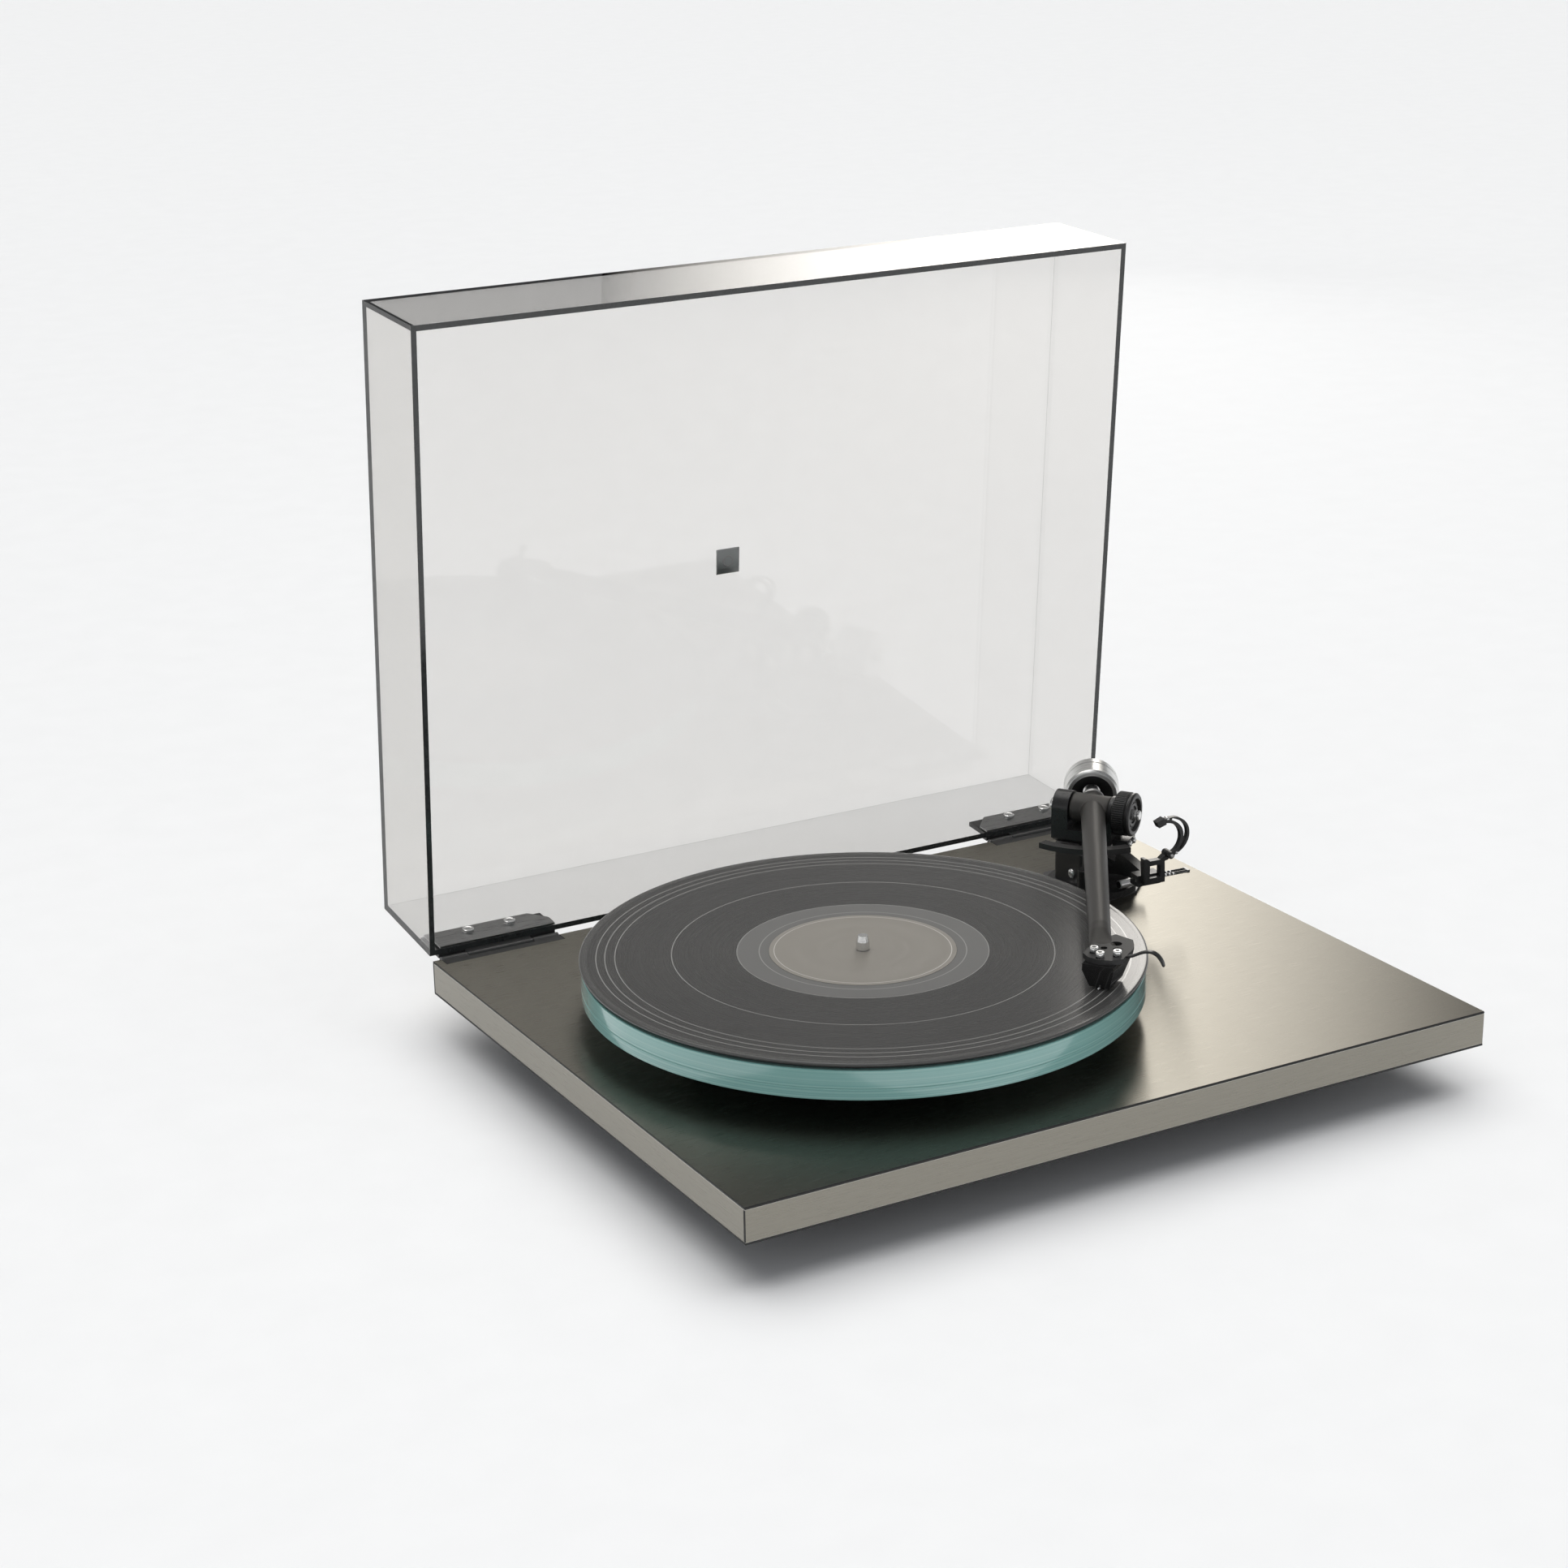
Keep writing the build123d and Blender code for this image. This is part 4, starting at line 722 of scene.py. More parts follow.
@dataclass
class ScrewSet:
    """A row of identical screws, set out by geometry nodes on points."""

    name: str
    head: Head
    radius: float
    height: float
    shank: float
    length: float

    def one(self) -> bpy.types.Object:
        """Models one screw, its seat at the origin and its head along z.

        Returns:
            The screw, in metres.
        """
        r, h = self.radius, self.height
        rim = {Head.CROSS: 0.35, Head.SOCKET: 0.86, Head.DOME: 0.3}[self.head]
        profile = [(0.0, -self.length), (self.shank * 0.8, -self.length), (self.shank, -self.length + 0.5)]
        profile += [(self.shank, 0.0), (r * 0.97, 0.0), (r, 0.12)]
        if self.head is Head.SOCKET:
            profile += [(r, h * rim), (r * 0.9, h), (r * 0.55, h), (r * 0.5, h - 0.1)]
            profile += [(r * 0.5, h * 0.3), (0.0, h * 0.3)]
        else:
            for step in range(6):
                turn = math.radians(90 * step / 5)
                profile.append((r * math.cos(turn) ** 0.7 if step < 5 else 0.0,
                                h * (rim + (1 - rim) * math.sin(turn))))
        screw = lathe(self.name + "_one", profile, Matrix.Identity(4), 28, closed=False)
        if self.head is Head.CROSS:
            for turn in (0.0, 90.0):
                half_l, half_w = r * 0.52, r * 0.12
                outline = [(-half_l, -half_w), (half_l, -half_w), (half_l, half_w), (-half_l, half_w)]
                slot = plate("slot", outline, h * 0.45, h + 1.0, Matrix.Rotation(math.radians(turn + 20), 4, "Z"))
                carve(screw, slot)
        return screw

    def build(self, spots: list[tuple[Vector, Vector]], coat: bpy.types.Material) -> bpy.types.Object:
        """Sets the screws out.

        Args:
            spots: The seat and direction of each.
            coat: Their material.

        Returns:
            The piece with all the screws.
        """
        mesh = bpy.data.meshes.new(self.name)
        mesh.from_pydata([seat for seat, _ in spots], [], [])
        mesh.attributes.new("stand", "FLOAT_VECTOR", "POINT")
        mesh.attributes.new("turn", "FLOAT", "POINT")
        for here, (_, way) in enumerate(spots):
            mesh.attributes["stand"].data[here].vector = way
            mesh.attributes["turn"].data[here].value = 0.9 * here
        piece = bpy.data.objects.new(self.name, mesh)
        bpy.context.scene.collection.objects.link(piece)
        sample = self.one()
        tree = Tree(self.name + "_set_out", {"Screw scale": 1.0})
        source = tree.add("GeometryNodeObjectInfo", As_Instance=True)
        source.inputs["Object"].default_value = sample
        way = tree.add("GeometryNodeInputNamedAttribute", Name="stand")
        way.data_type = "FLOAT_VECTOR"
        about = tree.add("GeometryNodeInputNamedAttribute", Name="turn")
        about.data_type = "FLOAT"
        stood = tree.add("FunctionNodeAlignRotationToVector", Vector=way.outputs[0])
        stood.axis = "Z"
        spin = tree.add("FunctionNodeAxisAngleToRotation", Angle=about.outputs[0])
        spin.inputs["Axis"].default_value = (0.0, 0.0, 1.0)
        both = tree.add("FunctionNodeRotateRotation", Rotation=stood.outputs[0])
        both.rotation_space = "LOCAL"
        tree.tree.links.new(spin.outputs[0], both.inputs["Rotate By"])
        placed = tree.add("GeometryNodeInstanceOnPoints", Points=tree.start.outputs[0])
        tree.tree.links.new(source.outputs["Geometry"], placed.inputs["Instance"])
        tree.tree.links.new(both.outputs[0], placed.inputs["Rotation"])
        tree.tree.links.new(tree.size("Screw scale"), placed.inputs["Scale"])
        tree.finish(piece, placed.outputs[0], coat)
        bpy.data.objects.remove(sample)
        piece.data.shade_smooth()
        piece.data.set_sharp_from_angle(angle=math.radians(40))
        return piece


def seats(node: str, ways: list[Vector], height: float) -> list[tuple[Vector, Vector]]:
    """Finds where a node's screws sit.

    Args:
        node: The frame node with the screws.
        ways: The direction of each solid's head, in the order of islands().
        height: The head's height in millimetres.

    Returns:
        The seat and direction of each screw.
    """
    spots = []
    for (centre, points), way in zip(islands(node), ways):
        top = max((point - centre).dot(way) for point in points)
        spots.append((centre + way * (top - height * MM), way))
    return spots


# -------------------------------------------------------------------- colours

PEWTER = (0.285, 0.27, 0.232)
PEWTER_PALE = (0.315, 0.298, 0.258)
BLACK = (0.012, 0.012, 0.012)
SOOT = (0.022, 0.022, 0.022)
CHROME = (0.72, 0.72, 0.71)


class Palette:
    """Builds each finish once and hands out its material."""

    def __init__(self, tube: Matrix, platter: Matrix) -> None:
        """Defines the finishes.

        Args:
            tube: The frame with x along the tone arm's tube.
            platter: The frame on the platter's axis.
        """
        across = Matrix.Rotation(math.pi / 2, 4, "Z")
        to_x = Matrix.Rotation(math.pi / 2, 4, "Y")
        metal = dict(metal=1.0, grain=Grain.BRUSHED, fine=3200.0)
        black = dict(colour=BLACK, accent=SOOT)
        finishes = [
            Finish("pewter_long", PEWTER, PEWTER_PALE, rough=0.29, rough_range=0.05, relief=0.02, stretch=0.85,
                   **metal),
            Finish("pewter_side", PEWTER, PEWTER_PALE, rough=0.29, rough_range=0.05, relief=0.02, stretch=0.85,
                   place=across, **metal),
            Finish("laminate_core", (0.01, 0.01, 0.01), (0.02, 0.02, 0.02), rough=0.55),
            # painted highlight: bright colour for the edge bands' eased arrises
            Finish("bright_edge", (0.62, 0.6, 0.56), (0.7, 0.68, 0.64), rough=0.25, **metal),
            Finish("backing_black", BLACK, (0.02, 0.02, 0.021), rough=0.6, fine=1800.0, relief=0.2),
            Finish("core_board", (0.42, 0.30, 0.18), (0.52, 0.39, 0.25), rough=0.8, grain=Grain.BRUSHED,
                   fine=500.0),
            Finish("brace_grey", (0.16, 0.16, 0.16), (0.2, 0.2, 0.2), rough=0.38, **metal),
            Finish("turned_brass", (0.62, 0.43, 0.16), (0.7, 0.5, 0.22), Grain.TURNED, 1.0, 0.28, place=platter),
            Finish("dull_steel", (0.3, 0.3, 0.31), (0.36, 0.36, 0.37), rough=0.42, metal=1.0, fine=700.0),
            Finish("bright_steel", CHROME, (0.8, 0.8, 0.79), Grain.SPECKLE, 0.8, 0.2, 0.06, 500.0, 0.03),
            Finish("turned_steel", CHROME, (0.78, 0.78, 0.76), Grain.TURNED, 0.9, 0.3, 0.12, 2500.0, 0.12,
                   place=tube @ to_x),
            Finish("turned_spindle", CHROME, (0.86, 0.86, 0.84), Grain.TURNED, 0.85, 0.2, 0.1, 2500.0, 0.1,
                   place=platter),
            Finish("rubber", rough=0.75, rough_range=0.12, fine=1400.0, relief=0.3, **black),
            Finish("moulded_black", rough=0.42, rough_range=0.14, fine=2200.0, relief=0.2, **black),
            Finish("clamp_grey", (0.3, 0.3, 0.3), (0.34, 0.34, 0.34), rough=0.3, rough_range=0.08, relief=0.05,
                   **metal),
            Finish("satin_black", rough=0.3, rough_range=0.1, fine=2600.0, relief=0.1, **black),
            Finish("knurled_black", rough=0.36, rough_range=0.1, fine=1800.0, relief=0.08, **black),
            Finish("graphite", (0.05, 0.048, 0.045), (0.066, 0.063, 0.059), Grain.SPECKLE, 0.6, 0.5, 0.1, 3000.0,
                   0.14),
            Finish("gloss_black", (0.008, 0.008, 0.008), (0.012, 0.012, 0.012), rough=0.07, rough_range=0.03,
                   fine=300.0, relief=0.02, coat=0.6),
            Finish("pulley_alloy", (0.55, 0.55, 0.57), (0.62, 0.62, 0.64), Grain.TURNED, 1.0, 0.3, place=platter),
            Finish("clear_smoke", (0.825, 0.815, 0.80), (0.835, 0.825, 0.81), rough=0.012, rough_range=0.008,
                   fine=60.0, relief=0.0, clear=1.0, ior=1.42),
            # painted shade: dark colour for the clear lid's mouth edge
            Finish("dark_edge", (0.018, 0.02, 0.02), (0.03, 0.032, 0.032), rough=0.16, fine=300.0, relief=0.04,
                   coat=0.5),
            # grey for the lid's outer arrises (painted shade) and the badge's dimple ring (painted highlight)
            Finish("grey_edge", (0.16, 0.165, 0.165), (0.2, 0.2, 0.2), rough=0.2, fine=300.0, relief=0.04,
                   coat=0.5),
            Finish("badge_clear", (0.17, 0.19, 0.19), (0.2, 0.22, 0.22), rough=0.12, fine=300.0, relief=0.03,
                   coat=0.6),
            Finish("ground_glass", (0.2, 0.44, 0.41), (0.38, 0.64, 0.60), Grain.TURNED, 0.0, 0.1, 0.12, 1100.0,
                   0.12, 0.8, 0.15, 1.5, place=platter),
            Finish("felt", (0.03, 0.03, 0.03), (0.06, 0.06, 0.06), rough=0.95, fine=3000.0, relief=0.6),
            Finish("label_paper", (0.165, 0.153, 0.133), (0.182, 0.17, 0.149), Grain.TURNED, 0.0, 0.5, 0.1, 240.0,
                   0.03, 0.15, place=platter),
            Finish("label_line", (0.36, 0.345, 0.32), (0.4, 0.385, 0.36), rough=0.5, fine=500.0, relief=0.02),
            Finish("stylus_stone", (0.75, 0.75, 0.74), (0.85, 0.85, 0.84), rough=0.08, fine=500.0, relief=0.0),
            Finish("white_mark", (0.78, 0.78, 0.77), (0.84, 0.84, 0.83), rough=0.5, fine=900.0),
            PressedVinyl("pressed_vinyl", (0.038, 0.0375, 0.0365), (0.046, 0.0455, 0.044), Grain.PRESSED, 0.0,
                         0.28, 0.05, 3600.0, 0.04, 0.35, 0.0, 1.5, 0.5, platter, 0.045, gaps=RECORD_GAPS),
            Finish("gun_metal", (0.16, 0.16, 0.16), (0.2, 0.2, 0.2), rough=0.25, metal=1.0, fine=900.0,
                   relief=0.05),
            Finish("satin_alloy", (0.75, 0.75, 0.74), (0.8, 0.8, 0.79), rough=0.34, metal=0.85, fine=900.0,
                   relief=0.05),
            Finish("shell_black", rough=0.52, rough_range=0.1, fine=2600.0, relief=0.12, **black),
        ]
        self._finishes = {finish.name: finish for finish in finishes}
        self._made: dict[str, bpy.types.Material] = {}

    def __getitem__(self, name: str) -> bpy.types.Material:
        """Gives a finish's material, built on its first use."""
        if name not in self._made:
            self._made[name] = self._finishes[name].material()
        return self._made[name]


# each smooth ring: inner radius, outer radius, and how much of the lighter painted-reflection colour it takes
RECORD_GAPS = tuple(
    (low * MM, high * MM, share)
    for low, high, share in (
        (50, 54.6, 0.42), (54.6, 55.1, 1.0), (55.1, 60.2, 0.42), (60.2, 60.6, 1.0), (60.6, 66.0, 0.42),
        (66.4, 67.0, 0.9),
        (100.8, 101.5, 0.95), (130.8, 131.5, 0.95), (136.4, 137.1, 0.95), (141.2, 141.8, 0.95), (146.4, 151, 0.1),
    )
)


# ------------------------------------------------------------- sub-assemblies


@dataclass
class Assembly:
    """What every sub-assembly shares: the palette and the frames of the moving parts."""

    palette: Palette
    tube: Matrix
    pitch: Matrix
    platter: Matrix

    def carry(self, node: str, finish: str, width: float, body: str, slot: str, steps: int = 2) -> bpy.types.Object:
        """Makes a visible piece from a frame node and dresses it.

        Args:
            node: The frame node.
            finish: Its finish.
            width: The width of its eased edges in millimetres.
            body: The body that it moves with.
            slot: The name of its material slot in the record; not used.
            steps: The segments of the eased edges.

        Returns:
            The finished piece.
        """
        piece = from_frame(node, node + "_made", width, steps)
        paint(piece, self.palette[finish])
        return mount(piece, body)

    def dress(self, node: str, finish: str) -> None:
        """Gives a frame node that stays visible its finish.

        Args:
            node: The frame node.
            finish: Its finish.
        """
        paint(frame["nodes"][node], self.palette[finish])
        LOG.info("%s stays, in %s", node, finish)


@dataclass
class Plinth(Assembly):
    """The laminated plinth with its bands, braces, bearing, motor, feet and sockets."""

    edge: float = 0.16
    foot_edge: float = 0.8

    def build(self) -> None:
        """Builds and dresses the plinth."""
        self._skins()
        self._bands()
        self.dress("plinth_core", "core_board")
        self.dress("thrust_ball", "bright_steel")
        self.carry("plinth_bottom_skin", "backing_black", 0.0, "plinth", "backing")
        self.carry("brace_upper", "brace_grey", 0.25, "plinth", "brace_metal")
        self.carry("brace_lower", "brace_grey", 0.25, "plinth", "brace_metal")
        self.carry("main_bearing", "turned_brass", 0.2, "plinth", "bearing_brass")
        self.carry("post_nuts", "bright_steel", 0.5, "plinth", "bright_steel")
        self.carry("motor_body", "dull_steel", 0.4, "plinth", "dark_steel")
        self.carry("motor_plate", "dull_steel", 0.3, "plinth", "dark_steel")
        self.carry("power_inlet", "moulded_black", 0.3, "plinth", "black_plastic")
        self.carry("lead_bush", "rubber", 0.4, "plinth", "black_plastic")
        for side in ("front_left", "front_right", "rear"):
            self.carry("foot_" + side, "rubber", self.foot_edge, "plinth", "black_rubber", 3)
        down = -UP
        for node, sizes in (("motor_screws", (2.8, 1.8, 1.5, 8.0)), ("foot_screws", (4.6, 2.6, 2.5, 27.0))):
            screws = ScrewSet(node + "_made", Head.CROSS, *sizes)
            count = len(islands(node))
            piece = screws.build(seats(node, [down] * count, sizes[1]), self.palette["bright_steel"])
            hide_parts(node)
            mount(piece, "plinth")

    def _skins(self) -> None:
        """Builds the top laminate, with its dark cut edge and dark eased arris."""
        top = from_frame("plinth_top_skin", "plinth_top_skin_made", self.edge)
        paint(top, self.palette["pewter_long"], self.palette["laminate_core"], self.palette["laminate_core"])
        by_normal(top, [UP], 1, 2)
        mount(top, "plinth")

    def _bands(self) -> None:
        """Builds the four edge bands, with arrises painted bright as a painted highlight and dark ends."""
        ways = {"front": Vector((0, -1, 0)), "rear": Vector((0, 1, 0)), "left": Vector((-1, 0, 0)),
                "right": Vector((1, 0, 0))}
        for side, way in ways.items():
            band = from_frame("edge_band_" + side, f"edge_band_{side}_made", 0.34)
            face = "pewter_long" if side in ("front", "rear") else "pewter_side"
            # the eased arrises (slot 2) take a painted highlight; ends and cut edges stay dark
            paint(band, self.palette[face], self.palette["laminate_core"], self.palette["bright_edge"])
            by_normal(band, [way], 1, 2)
            for face in band.data.polygons:
                if face.material_index == 2 and abs(face.normal.z) < 0.2:
                    face.material_index = 1
            mount(band, "plinth")


@dataclass
class Hinges(Assembly):
    """The two hinges, their pins, clamps and screws."""

    def build(self) -> None:
        """Builds and dresses the hinges."""
        for side in ("left", "right"):
            self.carry("hinge_block_" + side, "moulded_black", 0.35, "plinth", "black_plastic")
            self.carry("hinge_leaf_" + side, "moulded_black", 0.35, "lid", "black_plastic")
        self.carry("hinge_pins", "bright_steel", 0.2, "plinth", "bright_steel")
        self.carry("hinge_clamps", "clamp_grey", 0.25, "lid", "clamp_grey")
        self._screws("hinge_block_screws", Vector((0, 1, 0)), (2.6, 1.4, 1.5, 12.0), "plinth")
        self._screws("lid_screws", self._inward(), (3.3, 2.0, 1.5, 7.0), "lid", Head.SOCKET)

    @staticmethod
    def _inward() -> Vector:
        """Finds the way that the lid's rear wall faces inward, from the clamps' broadest face.

        Returns:
            The direction of the screw heads.
        """
        areas: dict[tuple[float, float, float], float] = {}
        for face in frame["nodes"]["hinge_clamps"].data.polygons:
            way = tuple(round(value, 3) for value in face.normal)
            if way[2] > 0.5:
                areas[way] = areas.get(way, 0.0) + face.area
        return Vector(max(areas, key=lambda way: areas[way])).normalized()

    def _screws(
        self, node: str, way: Vector, sizes: tuple[float, float, float, float], body: str, head: Head = Head.CROSS
    ) -> None:
        """Builds a row of screws.

        Args:
            node: The frame node that they stand for.
            way: The direction of their heads.
            sizes: Head radius, head height, shank radius and length in millimetres.
            body: The body that they move with.
            head: Their kind of head.
        """
        screws = ScrewSet(node + "_made", head, *sizes)
        count = len(islands(node))
        piece = screws.build(seats(node, [way] * count, sizes[1]), self.palette["bright_steel"])
        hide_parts(node)
        mount(piece, body)


@dataclass
class Lid(Assembly):
    """The clear lid with its cut edges painted dark as painted shade, and the badge in its roof."""

    outer_edge: float = 0.35

    def build(self) -> None:
        """Builds and dresses the lid."""
        shell = from_frame("lid_shell", "lid_shell_made", self.outer_edge)
        # slots 1 and 2 paint shade on the mouth's cut edge and the outer arrises
        paint(shell, self.palette["clear_smoke"], self.palette["dark_edge"], self.palette["grey_edge"])
        self._edges(shell)
        shell.visible_shadow = False
        mount(shell, "lid")
        self.carry("lid_badge", "badge_clear", 0.9, "lid", "badge_clear")
        self._dimple()

    def _dimple(self) -> None:
        """Builds the pale ring round the badge's dimple, a painted highlight on its rim."""
        areas: dict[tuple[float, float, float], float] = {}
        for face in frame["nodes"]["lid_badge"].data.polygons:
            way = tuple(round(value, 3) for value in face.normal)
            if way[1] < -0.5:
                areas[way] = areas.get(way, 0.0) + face.area
        out = Vector(max(areas, key=lambda way: areas[way])).normalized()
        points = [v.co.copy() for v in frame["nodes"]["lid_badge"].data.vertices]
        centre = sum(points, Vector()) / len(points)
        centre += out * (max((p - centre).dot(out) for p in points))
        profile = [(2.6, -0.1), (2.6, 0.08), (2.9, 0.2), (3.3, 0.2), (3.6, 0.08), (3.6, -0.1)]
        ring = lathe("lid_badge_dimple", profile, facing(centre, out), 48)
        ease(ring, 0.0, angle=60.0)
        # painted highlight on the dimple's rim
        paint(ring, self.palette["grey_edge"])
        mount(ring, "lid")

    def _edges(self, shell: bpy.types.Object) -> None:
        """Gives the mouth's cut edge and the outer arrises their darker slots, painted shade for how the clear
        sheet's edges look dark.

        Args:
            shell: The lid shell.
        """
        low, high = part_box("lid_shell")
        for face in shell.data.polygons:
            steep = face.normal.y < -0.95
            near = min(shell.data.vertices[i].co.y for i in face.vertices) < low.y + 30 * MM
            slim = face.area < 4.0e-4 * (high.x - low.x)
            # the mouth's cut edge: painted shade
            if steep and near:
                face.material_index = 1
            # the outer arrises: grey painted shade
            elif slim and max(abs(face.normal.x), abs(face.normal.y), abs(face.normal.z)) < 0.97:
                face.material_index = 2
        LOG.info("lid arrises painted")


@dataclass
class PlatterDrive(Assembly):
    """The glass platter, its mat, hub, spindle, belt and pulley."""

    rim: float = 150.0
    rim_ease: float = 0.35

    def build(self) -> None:
        """Builds and dresses the platter and its drive."""
        for node, inner in (("platter_disc", None), ("platter_ring", 118.0)):
            low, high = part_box(node)
            top = (high.z - low.z) / MM
            base = self.platter.copy()
            base.translation.z = low.z
            ease_r = self.rim_ease
            profile = [(self.rim - ease_r, 0.0), (self.rim - 0.2, 0.2), (self.rim, ease_r),
                       (self.rim, top - ease_r)]
            profile += [(self.rim - 0.2, top - 0.2), (self.rim - ease_r, top)]
            hole = inner or 3.65
            profile += [(hole + 0.3, top), (hole, top - 0.3), (hole, 0.3), (hole + 0.3, 0.0)]
            piece = lathe(node + "_made", profile, base, 256)
            ease(piece, 0.0, angle=50.0)
            paint(piece, self.palette["ground_glass"])
            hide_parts(node)
            mount(piece, "platter")
        self.carry("mat", "felt", 0.3, "platter", "felt")
        self.carry("subplatter", "moulded_black", 0.4, "platter", "black_plastic")
        self.carry("spindle", "turned_spindle", 0.25, "platter", "bright_steel", 3)
        self.carry("motor_pulley", "pulley_alloy", 0.2, "pulley", "pulley_metal")
        self.carry("drive_belt", "rubber", 0.3, "plinth", "black_rubber")


@dataclass
class Record(Assembly):
    """The record and its plain label."""

    radius: float = 150.8
    label: float = 50.0
    run_out: float = 67.0
    bead: float = 147.6

    def build(self) -> None:
        """Builds and dresses the record."""
        low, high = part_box("record_disc")
        base = self.platter.copy()
        base.translation.z = low.z
        top = (high.z - low.z) / MM
        profile = [(3.65, 0.0), (self.radius - 1.0, 0.0), (self.radius - 0.3, 0.3), (self.radius, 0.9)]
        profile += [(self.radius - 0.1, 1.5), (self.radius - 0.6, top - 0.1), (self.radius - 1.4, top)]
        profile += [(self.bead, top), (self.bead - 1.2, top - 0.22), (131.6, top - 0.24), (131.1, top - 0.3),
                    (130.6, top - 0.24)]
        profile += [(101.6, top - 0.24), (101.1, top - 0.3), (100.6, top - 0.24)]
        profile += [(self.run_out + 0.3, top - 0.24), (self.run_out, top - 0.3), (self.run_out - 0.4, top - 0.3)]
        profile += [(self.label + 1.0, top - 0.28), (self.label + 0.1, top - 0.3), (self.label, top - 0.25),
                    (3.65, top - 0.25)]
        disc = lathe("record_disc_made", profile, base, 360)
        ease(disc, 0.0, angle=60.0)
        paint(disc, self.palette["pressed_vinyl"])
        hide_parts("record_disc")
        mount(disc, "platter")
        self._label(base, top)

    def _label(self, base: Matrix, top: float) -> None:
        """Builds the label with the pressed ring round its middle.

        Args:
            base: The frame on the record's underside.
            top: The record's thickness in millimetres.
        """
        seat = top - 0.25
        profile = [(3.65, seat), (self.label - 0.1, seat), (self.label - 0.1, seat + 0.1),
                   (self.label - 0.3, seat + 0.14)]
        profile += [(18.4, seat + 0.14), (17.6, seat + 0.02), (16.8, seat + 0.14), (3.9, seat + 0.2),
                    (3.65, seat + 0.16)]
        label = lathe("record_label_made", profile, base, 180)
        ease(label, 0.0, angle=60.0)
        paint(label, self.palette["label_paper"])
        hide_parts("record_label")
        mount(label, "platter")
        line = lathe("label_ring_line", [(47.0, seat + 0.1), (47.4, seat + 0.1), (47.4, seat + 0.17),
                                         (47.0, seat + 0.17)], base, 180)
        paint(line, self.palette["label_line"])
        mount(line, "platter")


